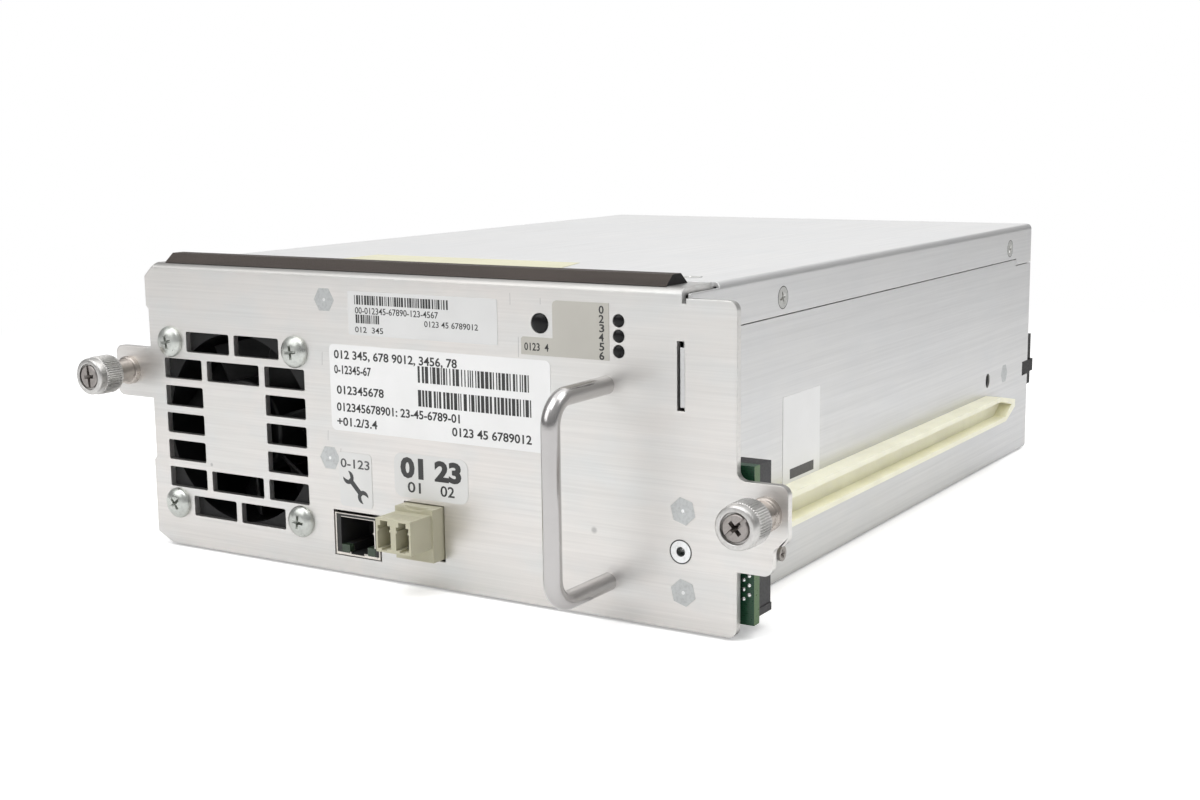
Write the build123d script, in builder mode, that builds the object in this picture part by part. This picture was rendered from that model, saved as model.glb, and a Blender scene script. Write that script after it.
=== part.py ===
from build123d import *
import os

os.makedirs("parts", exist_ok=True)

# Tape drive sled, millimetres. The origin is the centre of the flat bottom, the service panel
# faces -Y and the cartridge mouth faces +Y. Heights are above the bottom, depths are behind
# the panel's front face, and widths are from the middle.

# Sled body
body_width = 185.4
body_length = 273.6
body_height = 87.5
sheet = 1.2
panel_sheet = 2.0
sheet_gap = 0.1
bend_radius = 2.0

front = -body_length / 2
back = body_length / 2
half_width = body_width / 2
panel_back = front + panel_sheet
wall_inner = half_width - sheet
upper_wall_outer = half_width - sheet - sheet_gap
upper_wall_inner = upper_wall_outer - sheet
cover_underside = body_height - sheet

# Service panel outline
panel_left_margin = 3.2
panel_right_margin = 13.4
panel_left = -half_width - panel_left_margin
panel_right = half_width + panel_right_margin
panel_bottom = 0.6
panel_corner = 3.0
shoulder_drop = 2.6
shoulder_height = body_height - shoulder_drop
flange_left_inset = 1.3
flange_right_inset = 1.8
flange_left = flange_left_inset - half_width
flange_right = half_width - flange_right_inset
flange_depth = 14.6
flange_tongue = 18.0
left_ear_width = 13.4
left_ear_height = 15.6
left_ear_drop = 41.8
left_ear_low = body_height - left_ear_drop
left_ear_high = left_ear_low + left_ear_height
right_ear_width = 14.8
right_ear_height = 15.1
right_ear_low = 25.7
right_ear_high = right_ear_low + right_ear_height
ear_step_width = 9.8
ear_step_low = 17.7
ear_round = 2.5
edge_notch = 1.0

# Fan and its vents
fan_size = 60.0
fan_side_room = 1.6
fan_x = -half_width + fan_side_room + fan_size / 2
fan_z = 38.7
fan_depth = 25.0
fan_hole_pitch = 50.0
fan_bore = 57.0
vent_pitch = 8.42
vent_height = 6.2
vent_side_width = 15.5
vent_side_offset = 20.4
vent_middle_width = 21.0
vent_end_width = 17.6
vent_end_offset = 9.8
vent_round = 0.6

# Ports
jack_from_fan = 45.9
jack_x = fan_x + jack_from_fan
jack_z = 12.1
jack_cut_width = 17.3
jack_cut_height = 13.4
jack_gap = 0.55
adapter_from_jack = 24.3
adapter_x = jack_x + adapter_from_jack
adapter_width = 12.2
adapter_low = 12.7
adapter_high = 23.1
adapter_reach = 13.8
adapter_flange_width = 13.2
adapter_flange_low = 8.7
adapter_flange_high = 24.8
adapter_flange_reach = 5.0
adapter_flange_tail = 2.0
adapter_gap = 0.4

# Lights
status_inset = 20.0
status_drop = 13.0
port_light_from_status = 23.9
port_light_drop = 11.0
status_x = half_width - status_inset
status_z = body_height - status_drop
port_light_x = status_x - port_light_from_status
port_light_z = body_height - port_light_drop
port_light_hole = 2.7
status_pitch = 3.9
status_hole = 1.7

# Handle
handle_inset = 23.8
handle_x = half_width - handle_inset
handle_z = 36.0
handle_pitch = 51.6
handle_reach = 26.0
handle_bar = 2.4
handle_bend = 7.0

# Clinch fasteners in the panel
stud_across_flats = 6.35
stud_head = 1.2
standoff_from_fan = 36.7
standoff_column = fan_x + standoff_from_fan
standoff_places = [
    (standoff_column, body_height - 8.2),
    (standoff_column, 33.8),
    (status_x - 11.7, body_height - 12.3),
]
board_stud_inset = 1.7
board_stud_x = half_width - board_stud_inset
board_stud_z = 20.9
board_stud_pitch = 21.1
bush_inset = 2.4
bush_x = half_width - bush_inset
bush_radius = 3.15
bush_bore = 1.25

# Captive thumbscrews
left_thumb = (panel_left - 8.4, left_ear_low + 8.1)
right_thumb = (panel_right + 7.9, right_ear_low + 7.7)
knob_radius = 5.8
knob_length = 7.5
knob_out = 16.7
knob_web = 0.8
knob_skirt = 4.0
head_radius = 3.5
head_height = 1.3
screw_radius = 2.0
screw_point = 3.0
ferrule_radius = 3.8
ferrule_bore = 2.9
ferrule_neck = 3.2
ferrule_ring = 4.3
slide_gap = 0.2

# Connector board at the right of the panel
board_thickness = 3.0
board_depth = 4.0
board_inset = 17.7
board_overhang = 16.2
board_left = half_width - board_inset
board_right = half_width + board_overhang
board_low = 3.3
board_high = 43.9
connector_width = 9.0
connector_length = 9.8
connector_overhang = 14.8
connector_right = half_width + connector_overhang
connector_margin = 0.8

# Interface board behind the panel
inner_board_depth = 16.0
inner_board_thickness = 1.6
inner_board_gap = 2.6
inner_board_inset = 12.7
inner_board_drop = 4.5
inner_board_left = fan_x + fan_size / 2 + inner_board_gap
inner_board_right = half_width - inner_board_inset
inner_board_low = 4.0
inner_board_high = body_height - inner_board_drop

# Guide rails
rail_height = 6.0
rail_low = 17.9
rail_high = 27.6
rail_start = 26.0
rail_end_from_back = 32.8
rail_end = body_length - rail_end_from_back
rail_wall = 1.6
rail_floor = 1.4
rail_nose = 10.0

# Cover
seam_drop = 12.1
seam_height = body_height - seam_drop
seam_gap = 0.3
cover_jog_length = 17.6
cover_jog_depth = body_length - cover_jog_length
cover_jog = 2.4
cover_front = 15.8
cover_side_drop = 1.6
cover_side_top = body_height - cover_side_drop
cover_relief = 1.2

# Gasket
gasket_front = 1.2
gasket_base = 11.0
gasket_top = 4.2
gasket_height = 2.7
gasket_end_inset = 7.3
gasket_end = half_width - gasket_end_inset

# Cartridge mouth
mouth_width = 106.6
mouth_low = 22.6
mouth_high = 46.1
bezel_reach = 8.0
bezel_bar_low = 24.6
bezel_bar_high = 44.1
bezel_block_width = 124.0
bezel_block_low = 19.4
bezel_block_high = 51.4
bezel_inner = 8.0
bezel_gap = 0.3
end_plate_inset = 0.4
finger_low = 29.7
finger_high = 34.4

# Drive inside the sled
drive_width = 146.0
drive_start = 66.6
drive_end_gap = 9.6
drive_end = body_length - drive_end_gap
drive_wall = 3.0
drive_base_top = 62.0
drive_top_gap = 3.8
drive_top = body_height - drive_top_gap
deck_low = 14.5
deck_high = 17.5


# Plane seen from the service side: X to the right, Z up, normal towards -Y.
def facing(y):
    return Plane(origin=(0, y, 0), x_dir=(1, 0, 0), z_dir=(0, -1, 0))


# The same plane with its own origin, for round pieces whose axis points at the service side.
def facing_at(x, y, z):
    return Plane(origin=(x, y, z), x_dir=(1, 0, 0), z_dir=(0, -1, 0))


# The sketch corners nearest to the given points.
def corners_at(sketch, points):
    return [sketch.vertices().sort_by_distance(Vector(x, z, 0))[0] for x, z in points]


# Service panel
left_shoulder = 4.3
side_notch_low = 26.4
side_notch_drop = 13.3
side_notch_high = body_height - side_notch_drop
relief_width = 1.2
relief_depth = 1.3
slot_edge_gap = 0.3
ear_right = panel_right + right_ear_width
ear_left = panel_left - left_ear_width
tongue_height = cover_underside - sheet_gap
tab_slot_margin = 1.8
tab_slot_length = 17.5
tab_slot_drop = 13.2
tab_slot_left = wall_inner - tab_slot_margin
tab_slot_right = half_width + slot_edge_gap
tab_slot_high = body_height - tab_slot_drop
tab_slot_low = tab_slot_high - tab_slot_length
handle_screw_hole = 2.2
fan_screw_hole = 2.2
lip_half_width = half_width - 12.7
lip_depth = 12.0
screw_shank = 1.5
cover_top_screw_x = half_width - 13.6
cover_top_screw_depth = 26.0

vent_rows = range(-3, 4)
side_vents = []
middle_vents = []
end_vents = []
for row in vent_rows:
    row_z = fan_z + row * vent_pitch
    if abs(row) == 3:
        end_vents += [(fan_x - vent_end_offset, row_z), (fan_x + vent_end_offset, row_z)]
    else:
        side_vents += [(fan_x - vent_side_offset, row_z), (fan_x + vent_side_offset, row_z)]
    if abs(row) == 2:
        middle_vents.append((fan_x, row_z))

fan_hole = fan_hole_pitch / 2
fan_screw_places = [(fan_x + i * fan_hole, fan_z + k * fan_hole) for i in (-1, 1) for k in (-1, 1)]
handle_feet = [(handle_x, handle_z - handle_pitch / 2), (handle_x, handle_z + handle_pitch / 2)]
board_studs = [
    (board_stud_x, board_stud_z - board_stud_pitch / 2),
    (board_stud_x, board_stud_z + board_stud_pitch / 2),
]
status_places = [(status_x, status_z + i * status_pitch) for i in (-1, 0, 1)]

with BuildPart() as rear_panel:
    with BuildSketch(facing(front)) as panel_face:
        with BuildLine():
            Polyline(
                (panel_left + 2 * panel_corner, panel_bottom),
                (panel_right, panel_bottom),
                (panel_right, ear_step_low),
                (panel_right + ear_step_width, ear_step_low),
                (panel_right + ear_step_width, right_ear_low),
                (ear_right, right_ear_low),
                (ear_right, right_ear_high),
                (panel_right, right_ear_high),
                (panel_right, shoulder_height),
                (flange_right + relief_width, shoulder_height),
                (flange_right + relief_width, shoulder_height - relief_depth),
                (flange_right, shoulder_height - relief_depth),
                (flange_right, body_height),
                (flange_left, body_height),
                (panel_left, body_height - left_shoulder),
                (panel_left, side_notch_high),
                (panel_left + edge_notch, side_notch_high - edge_notch),
                (panel_left + edge_notch, left_ear_high),
                (ear_left, left_ear_high),
                (ear_left, left_ear_low),
                (panel_left + edge_notch, left_ear_low),
                (panel_left + edge_notch, side_notch_low + edge_notch),
                (panel_left, side_notch_low),
                (panel_left, panel_bottom + panel_corner),
                close=True,
            )
        make_face()
        rounded = [
            (panel_right, panel_bottom),
            (panel_right, shoulder_height),
            (panel_right, right_ear_high),
            (ear_right, right_ear_high),
            (ear_right, right_ear_low),
            (panel_right + ear_step_width, right_ear_low),
            (panel_right + ear_step_width, ear_step_low),
            (ear_left, left_ear_high),
            (ear_left, left_ear_low),
        ]
        fillet(corners_at(panel_face, rounded), radius=ear_round)
        with Locations(*side_vents):
            RectangleRounded(vent_side_width, vent_height, vent_round, mode=Mode.SUBTRACT)
        with Locations(*middle_vents):
            RectangleRounded(vent_middle_width, vent_height, vent_round, mode=Mode.SUBTRACT)
        with Locations(*end_vents):
            RectangleRounded(vent_end_width, vent_height, vent_round, mode=Mode.SUBTRACT)
        with Locations(*fan_screw_places):
            Circle(fan_screw_hole, mode=Mode.SUBTRACT)
        with Locations(*handle_feet):
            Circle(handle_screw_hole, mode=Mode.SUBTRACT)
        with Locations((jack_x, jack_z)):
            Rectangle(jack_cut_width, jack_cut_height, mode=Mode.SUBTRACT)
        with Locations((adapter_x, (adapter_flange_low + adapter_flange_high) / 2)):
            Rectangle(
                adapter_flange_width + 2 * adapter_gap,
                adapter_flange_high - adapter_flange_low + 2 * adapter_gap,
                mode=Mode.SUBTRACT,
            )
        with Locations((port_light_x, port_light_z)):
            Circle(port_light_hole, mode=Mode.SUBTRACT)
        with Locations(*status_places):
            Circle(status_hole, mode=Mode.SUBTRACT)
        with Locations(((tab_slot_left + tab_slot_right) / 2, (tab_slot_low + tab_slot_high) / 2)):
            Rectangle(tab_slot_right - tab_slot_left, tab_slot_high - tab_slot_low, mode=Mode.SUBTRACT)
        with Locations(left_thumb, right_thumb):
            Circle(ferrule_neck, mode=Mode.SUBTRACT)
        with Locations((bush_x, board_stud_z)):
            Circle(bush_radius, mode=Mode.SUBTRACT)
    extrude(amount=-panel_sheet)
    # Top flange, joggled down at its rear edge so that the cover lies over it
    with BuildSketch(Plane.YZ.offset(flange_left)):
        joggle = body_height - tongue_height
        with BuildLine():
            Polyline(
                (front, body_height),
                (front + flange_depth, body_height),
                (front + flange_depth + joggle, tongue_height),
                (front + flange_depth + flange_tongue, tongue_height),
                (front + flange_depth + flange_tongue, tongue_height - panel_sheet),
                (front + flange_depth, tongue_height - panel_sheet),
                (front + flange_depth - joggle, body_height - panel_sheet),
                (front, body_height - panel_sheet),
                close=True,
            )
        make_face()
    extrude(amount=flange_right - flange_left)
    fillet(
        rear_panel.edges().filter_by(Axis.X).filter_by_position(Axis.Y, front, front).sort_by(Axis.Z)[-1],
        radius=bend_radius,
    )
    # Bottom lip, lying on the floor of the chassis
    with BuildSketch(Plane.XY.offset(sheet)):
        with Locations((0, panel_back + lip_depth / 2)):
            Rectangle(2 * lip_half_width, lip_depth)
    extrude(amount=panel_sheet)
    # Flush pockets for the clinch heads
    with BuildSketch(facing(front)):
        with Locations(*standoff_places):
            RegularPolygon(stud_across_flats / 2, 6, major_radius=False)
        with Locations(*board_studs):
            RegularPolygon(stud_across_flats / 2, 6, major_radius=False, rotation=30)
    extrude(amount=-stud_head, mode=Mode.SUBTRACT)
    standoff_shank = 2.1
    stud_shank = 1.5
    with BuildSketch(facing(front)):
        with Locations(*standoff_places):
            Circle(standoff_shank)
        with Locations(*board_studs):
            Circle(stud_shank)
    extrude(amount=-panel_sheet, mode=Mode.SUBTRACT)
    # Holes in the joggled edge for the cover's top screws
    with BuildSketch(Plane.XY.offset(tongue_height)):
        with Locations(*[(side * cover_top_screw_x, front + cover_top_screw_depth) for side in (-1, 1)]):
            Circle(screw_shank)
    extrude(amount=-panel_sheet, mode=Mode.SUBTRACT)
rear_panel.part.label = "rear_panel"
export_step(rear_panel.part, "parts/rear_panel.step")

# Chassis: one sheet bent up at both sides, its upper walls joggled in under the cover
tray_front = panel_back + sheet_gap
tray_length = back - tray_front
upper_wall_top = cover_underside - sheet_gap
wall_top = seam_height - seam_gap
joggle_height = seam_height - cover_jog - 2 * sheet
board_notch_low = board_low - 1.3
board_notch_high = board_high + 2.1
board_notch_margin = 5.0
board_notch_depth = board_depth + board_thickness + board_notch_margin
finger_gap = 0.3
slot_hole_from_back = 46.8
slot_hole_depth = body_length - slot_hole_from_back
slot_hole_z = 33.0
wall_stud_from_back = 28.1
wall_stud_depth = body_length - wall_stud_from_back
wall_stud_z = 33.2
side_screw_depth = 52.7
side_screw_z = 8.6
cover_side_screws = [(53.5, body_height - 7.4), (body_length - 25.3, body_height - 7.8)]
rail_peg = 2.4
rail_peg_places = [(rail_start + rail_end) / 2 + i * 90.0 for i in (-1, 0, 1)]
rail_middle = (rail_low + rail_high) / 2

with BuildPart() as chassis_tray:
    with BuildSketch(facing(tray_front)):
        with Locations((0, wall_top / 2)):
            outside = Rectangle(body_width, wall_top)
        fillet(outside.vertices().group_by(Axis.Y)[0], radius=bend_radius)
    extrude(amount=-tray_length)
    with BuildSketch(facing(tray_front)):
        with Locations((0, sheet + seam_height / 2)):
            inside = Rectangle(2 * wall_inner, seam_height)
        fillet(inside.vertices().group_by(Axis.Y)[0], radius=bend_radius - sheet)
    extrude(amount=-tray_length, mode=Mode.SUBTRACT)
    with BuildSketch(facing(tray_front)):
        for side in (-1, 1):
            with Locations((side * (upper_wall_inner + half_width) / 2, joggle_height + sheet / 2)):
                Rectangle(half_width - upper_wall_inner, sheet)
            with Locations((side * (upper_wall_outer - sheet / 2), (joggle_height + upper_wall_top) / 2)):
                Rectangle(sheet, upper_wall_top - joggle_height)
    extrude(amount=-tray_length)
    # Outer walls cut lower at the far end, under the longer part of the cover's flanges
    with BuildSketch(Plane.YZ.offset(-half_width)):
        jog_front = front + cover_jog_depth - seam_gap
        with Locations(((jog_front + back) / 2, seam_height - (cover_jog + seam_gap) / 2)):
            Rectangle(back - jog_front, cover_jog + seam_gap)
    extrude(amount=half_width - upper_wall_outer, mode=Mode.SUBTRACT)
    with BuildSketch(Plane.YZ.offset(upper_wall_outer)):
        with Locations(((jog_front + back) / 2, seam_height - (cover_jog + seam_gap) / 2)):
            Rectangle(back - jog_front, cover_jog + seam_gap)
    extrude(amount=half_width - upper_wall_outer, mode=Mode.SUBTRACT)
    # Upper walls cut down in front to pass under the panel's flange
    with BuildSketch(Plane.XY.offset(tongue_height - panel_sheet - sheet_gap)):
        under_flange = flange_depth + flange_tongue - panel_sheet + sheet
        with Locations((0, tray_front + under_flange / 2)):
            Rectangle(body_width, under_flange)
    extrude(amount=body_height - tongue_height + panel_sheet, mode=Mode.SUBTRACT)
    # Tab of the right wall that seats in the panel's slot
    with BuildSketch(Plane.YZ.offset(wall_inner)):
        with Locations((front + panel_sheet, (tab_slot_low + tab_slot_high) / 2)):
            Rectangle(2 * panel_sheet - 2 * sheet_gap, tab_slot_high - tab_slot_low - 6 * sheet_gap)
    extrude(amount=sheet)
    # Right wall set back round the connector board
    with BuildSketch(Plane.YZ.offset(wall_inner - sheet)):
        with Locations((front + board_notch_depth / 2, (board_notch_low + board_notch_high) / 2)):
            Rectangle(board_notch_depth, board_notch_high - board_notch_low)
    extrude(amount=3 * sheet, mode=Mode.SUBTRACT)
    # Holes in the right wall, then those that both walls share
    with BuildSketch(Plane.YZ.offset(wall_inner - sheet)):
        with Locations((front + slot_hole_depth, slot_hole_z)):
            SlotOverall(5.2, 4.3, rotation=90)
        with Locations((front + wall_stud_depth, wall_stud_z)):
            RegularPolygon(stud_across_flats / 2, 6, major_radius=False)
        with Locations((front + side_screw_depth, side_screw_z)):
            Circle(screw_shank + sheet_gap)
    extrude(amount=3 * sheet, mode=Mode.SUBTRACT)
    with BuildSketch(Plane.YZ.offset(-half_width - sheet)):
        finger_height = finger_high - finger_low + 2 * finger_gap
        with Locations((back, (finger_low + finger_high) / 2)):
            Rectangle(13.0, finger_height)
        with Locations(*[(front + depth, rail_middle) for depth in rail_peg_places]):
            Circle(rail_peg + sheet_gap)
        with Locations(*[(front + depth, height) for depth, height in cover_side_screws]):
            Circle(screw_shank)
    extrude(amount=body_width + 2 * sheet, mode=Mode.SUBTRACT)
chassis_tray.part.label = "chassis_tray"
export_step(chassis_tray.part, "parts/chassis_tray.step")

# Cover: top plate with side flanges down to the seam, cut back in front for the gasket
screw_head = 2.5
countersink = 1.1

with BuildPart() as top_cover:
    with BuildSketch(facing(tray_front)):
        with Locations((0, (seam_height + body_height) / 2)):
            skin = Rectangle(body_width, body_height - seam_height)
        fillet(skin.vertices().group_by(Axis.Y)[-1], radius=bend_radius)
        with Locations((0, (seam_height + cover_underside) / 2)):
            Rectangle(2 * wall_inner, cover_underside - seam_height, mode=Mode.SUBTRACT)
    extrude(amount=-tray_length)
    # Top cut back in front, the side flanges keep on to the panel
    with BuildSketch(Plane.XY.offset(cover_side_top)):
        with Locations((0, (tray_front + front + cover_front) / 2)):
            Rectangle(body_width, front + cover_front - tray_front)
    extrude(amount=body_height - cover_side_top, mode=Mode.SUBTRACT)
    with BuildSketch(Plane.XY.offset(cover_side_top)):
        with Locations((-wall_inner, front + cover_front), (wall_inner, front + cover_front)):
            Circle(cover_relief)
    extrude(amount=body_height - cover_side_top, mode=Mode.SUBTRACT)
    # Side flanges reach a little lower at the far end
    with BuildSketch(Plane.YZ.offset(-half_width)):
        with Locations(((front + cover_jog_depth + back) / 2, seam_height - cover_jog / 2)):
            Rectangle(back - front - cover_jog_depth, cover_jog)
    extrude(amount=body_width)
    with BuildSketch(Plane.YZ.offset(-wall_inner)):
        with Locations(((front + cover_jog_depth + back) / 2, seam_height - cover_jog / 2)):
            Rectangle(back - front - cover_jog_depth, cover_jog)
    extrude(amount=2 * wall_inner, mode=Mode.SUBTRACT)
    for side in (-1, 1):
        for depth, height in cover_side_screws:
            with Locations(Location((side * half_width, front + depth, height), (0, side * 90, 0))):
                CounterSinkHole(screw_shank + sheet_gap, screw_head + sheet_gap, depth=2 * sheet)
        with Locations((side * cover_top_screw_x, front + cover_top_screw_depth, body_height)):
            CounterSinkHole(screw_shank + sheet_gap, screw_head + sheet_gap, depth=2 * sheet)
top_cover.part.label = "top_cover"
export_step(top_cover.part, "parts/top_cover.step")

# End plate: closes the far end round the bezel, its side flanges against the upper walls
window_half_width = bezel_block_width / 2 - 3.0
window_low = bezel_block_low + 1.6
window_high = bezel_block_high - 1.6
end_plate_y = back - end_plate_inset
end_flange = 10.0

with BuildPart() as end_plate:
    with BuildSketch(facing(end_plate_y)):
        with Locations((0, (sheet + upper_wall_top) / 2)):
            Rectangle(2 * upper_wall_inner, upper_wall_top - sheet)
        with Locations((0, (window_low + window_high) / 2)):
            Rectangle(2 * window_half_width, window_high - window_low, mode=Mode.SUBTRACT)
    extrude(amount=sheet)
    with BuildSketch(Plane.XY.offset(sheet)):
        for side in (-1, 1):
            with Locations((side * (upper_wall_inner - sheet / 2), end_plate_y - sheet - end_flange / 2)):
                Rectangle(sheet, end_flange)
    extrude(amount=upper_wall_top - sheet)
end_plate.part.label = "end_plate"
export_step(end_plate.part, "parts/end_plate.step")

# Countersunk screws of the cover
screw_length = 5.0
cover_screw_places = []
for side in (-1, 1):
    for depth, height in cover_side_screws:
        cover_screw_places.append(Location((side * half_width, front + depth, height), (0, side * 90, 0)))
    cover_screw_places.append(
        Location((side * cover_top_screw_x, front + cover_top_screw_depth, body_height), (0, 0, 0))
    )

with BuildPart() as cover_screws:
    with Locations(*cover_screw_places):
        Cone(screw_shank, screw_head, countersink, align=(Align.CENTER, Align.CENTER, Align.MAX))
        Cylinder(screw_shank, screw_length, align=(Align.CENTER, Align.CENTER, Align.MAX))
cover_screws.part.label = "cover_screws"
export_step(cover_screws.part, "parts/cover_screws.step")

# Foam gasket on the panel's top flange
with BuildPart() as top_gasket:
    with BuildSketch(Plane.YZ.offset(flange_left)):
        slope = (gasket_base - gasket_top) / 2
        with BuildLine():
            Polyline(
                (front + gasket_front, body_height),
                (front + gasket_front + gasket_base, body_height),
                (front + gasket_front + gasket_base - slope, body_height + gasket_height),
                (front + gasket_front + slope, body_height + gasket_height),
                close=True,
            )
        make_face()
    extrude(amount=gasket_end - flange_left)
top_gasket.part.label = "top_gasket"
export_step(top_gasket.part, "parts/top_gasket.step")

# Carrying handle: one bent bar, its feet standing on the panel
handle_low = handle_z - handle_pitch / 2
handle_high = handle_z + handle_pitch / 2
handle_tap_depth = 8.0

with BuildPart() as carry_handle:
    with BuildLine():
        FilletPolyline(
            (handle_x, front, handle_low),
            (handle_x, front - handle_reach, handle_low),
            (handle_x, front - handle_reach, handle_high),
            (handle_x, front, handle_high),
            radius=handle_bend,
        )
    with BuildSketch(facing_at(handle_x, front, handle_low)):
        Circle(handle_bar)
    sweep()
    with BuildSketch(facing(front)):
        with Locations(*handle_feet):
            Circle(screw_shank)
    extrude(amount=handle_tap_depth, mode=Mode.SUBTRACT)
carry_handle.part.label = "carry_handle"
export_step(carry_handle.part, "parts/carry_handle.step")

# Fan: frame with its four struts, rotor with twisted blades
fan_flange = 3.4
fan_corner = 4.0
fan_wall = 1.4
motor_radius = 15.0
motor_depth = 3.0
strut_width = 3.0
hub_radius = 14.5
hub_height = 17.0
rotor_start = 2.0
hub_round = 1.2
blade_count = 7
blade_tip = fan_bore / 2 - 2.5
blade_chord = 15.0
blade_thickness = 1.1
shaft_radius = 1.5
bearing_gap = 0.05

with BuildPart() as fan_frame:
    with BuildSketch(facing_at(fan_x, panel_back, fan_z)):
        RectangleRounded(fan_size, fan_size, fan_corner)
        Circle(fan_bore / 2, mode=Mode.SUBTRACT)
        with GridLocations(fan_hole_pitch, fan_hole_pitch, 2, 2):
            Circle(fan_screw_hole, mode=Mode.SUBTRACT)
    extrude(amount=-fan_flange)
    with BuildSketch(facing_at(fan_x, panel_back + fan_depth, fan_z)):
        RectangleRounded(fan_size, fan_size, fan_corner)
        Circle(fan_bore / 2, mode=Mode.SUBTRACT)
        with GridLocations(fan_hole_pitch, fan_hole_pitch, 2, 2):
            Circle(fan_screw_hole, mode=Mode.SUBTRACT)
    extrude(amount=fan_flange)
    with BuildSketch(facing_at(fan_x, panel_back, fan_z)):
        Circle(fan_bore / 2 + fan_wall)
        Circle(fan_bore / 2, mode=Mode.SUBTRACT)
    extrude(amount=-fan_depth)
    # Motor plate and struts at the inner end, with the bearing bore
    with BuildSketch(facing_at(fan_x, panel_back + fan_depth, fan_z)):
        Circle(motor_radius)
        with PolarLocations((motor_radius + fan_bore / 2) / 2, 4, start_angle=45):
            Rectangle(fan_bore / 2 - motor_radius + 1.2, strut_width)
        Circle(shaft_radius + bearing_gap, mode=Mode.SUBTRACT)
    extrude(amount=motor_depth)
fan_frame.part.label = "fan_frame"
export_step(fan_frame.part, "parts/fan_frame.step")

# One blade about the Z axis, later turned round the hub
blade_root = hub_radius - 1.0
with BuildPart() as fan_blade:
    with BuildSketch(Plane(origin=(blade_root, 0, hub_height / 2), x_dir=(0, 1, 0), z_dir=(1, 0, 0))):
        SlotOverall(blade_chord, blade_thickness, rotation=52)
    with BuildSketch(Plane(origin=(blade_tip, 0, hub_height / 2), x_dir=(0, 1, 0), z_dir=(1, 0, 0))):
        SlotOverall(blade_chord * 1.35, blade_thickness, rotation=32)
    loft()

fan_hub_plane = Plane(origin=(fan_x, panel_back + rotor_start, fan_z), x_dir=(1, 0, 0), z_dir=(0, 1, 0))
with BuildPart(fan_hub_plane) as fan_rotor:
    Cylinder(hub_radius, hub_height, align=(Align.CENTER, Align.CENTER, Align.MIN))
    fillet(fan_rotor.faces().sort_by(Axis.Y)[0].edges(), radius=hub_round)
    Cylinder(
        shaft_radius,
        fan_depth - rotor_start - 0.5,
        align=(Align.CENTER, Align.CENTER, Align.MIN),
    )
    with PolarLocations(0, blade_count):
        add(fan_blade.part)
fan_rotor.part.label = "fan_rotor"
export_step(fan_rotor.part, "parts/fan_rotor.step")

fan_head = 4.2
fan_head_height = 2.3
with BuildPart() as fan_screws:
    with BuildSketch(facing(front)):
        with Locations(*fan_screw_places):
            Circle(fan_head)
    extrude(amount=fan_head_height)
    fillet(fan_screws.faces().group_by(Axis.Y)[0].edges(), radius=1.4)
    with BuildSketch(facing(front)):
        with Locations(*fan_screw_places):
            Circle(fan_screw_hole - 0.2)
    extrude(amount=-panel_sheet - fan_flange - 3.0)
fan_screws.part.label = "fan_screws"
export_step(fan_screws.part, "parts/fan_screws.step")

# Coil spring standing on the XY plane, square wire
coil_wire = 0.6


def coil(mean_radius, height, turns):
    with BuildPart() as spring:
        with BuildLine():
            Helix((height - coil_wire) / turns, height - coil_wire, mean_radius, center=(0, 0, coil_wire / 2))
        with BuildSketch(Plane(origin=(mean_radius, 0, coil_wire / 2), x_dir=(1, 0, 0), z_dir=(0, 1, 0))):
            Rectangle(coil_wire, coil_wire)
        sweep(is_frenet=True)
    return spring.part


# Captive thumbscrews: ferrule in the panel's ear, knob and screw held out by a spring
ferrule_tip = knob_out - knob_length + slide_gap
ferrule_floor = 0.5
ring_height = 1.0
head_recess = 1.4
recess_radius = head_radius + slide_gap
cross_width = 1.0
cross_length = 4.6
cross_depth = 0.9
edge_soft = 0.5
thumb_spring_length = 8.6
thumb_spring_radius = 2.45
thumb_spring_turns = 4
screw_guide = 0.1

with BuildPart() as thumb_ferrules:
    with BuildSketch(facing(front)):
        with Locations(left_thumb, right_thumb):
            Circle(ferrule_ring)
    extrude(amount=ring_height)
    with BuildSketch(facing(front)):
        with Locations(left_thumb, right_thumb):
            Circle(ferrule_radius)
    extrude(amount=ferrule_tip)
    with BuildSketch(facing(front)):
        with Locations(left_thumb, right_thumb):
            Circle(ferrule_neck)
    extrude(amount=-panel_sheet)
    with BuildSketch(facing(front - ferrule_tip)):
        with Locations(left_thumb, right_thumb):
            Circle(ferrule_bore)
    extrude(amount=ferrule_floor - ferrule_tip, mode=Mode.SUBTRACT)
    with BuildSketch(facing(front - ferrule_tip)):
        with Locations(left_thumb, right_thumb):
            Circle(screw_radius + screw_guide)
    extrude(amount=-ferrule_tip - panel_sheet, mode=Mode.SUBTRACT)
thumb_ferrules.part.label = "thumb_ferrules"
export_step(thumb_ferrules.part, "parts/thumb_ferrules.step")

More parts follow.
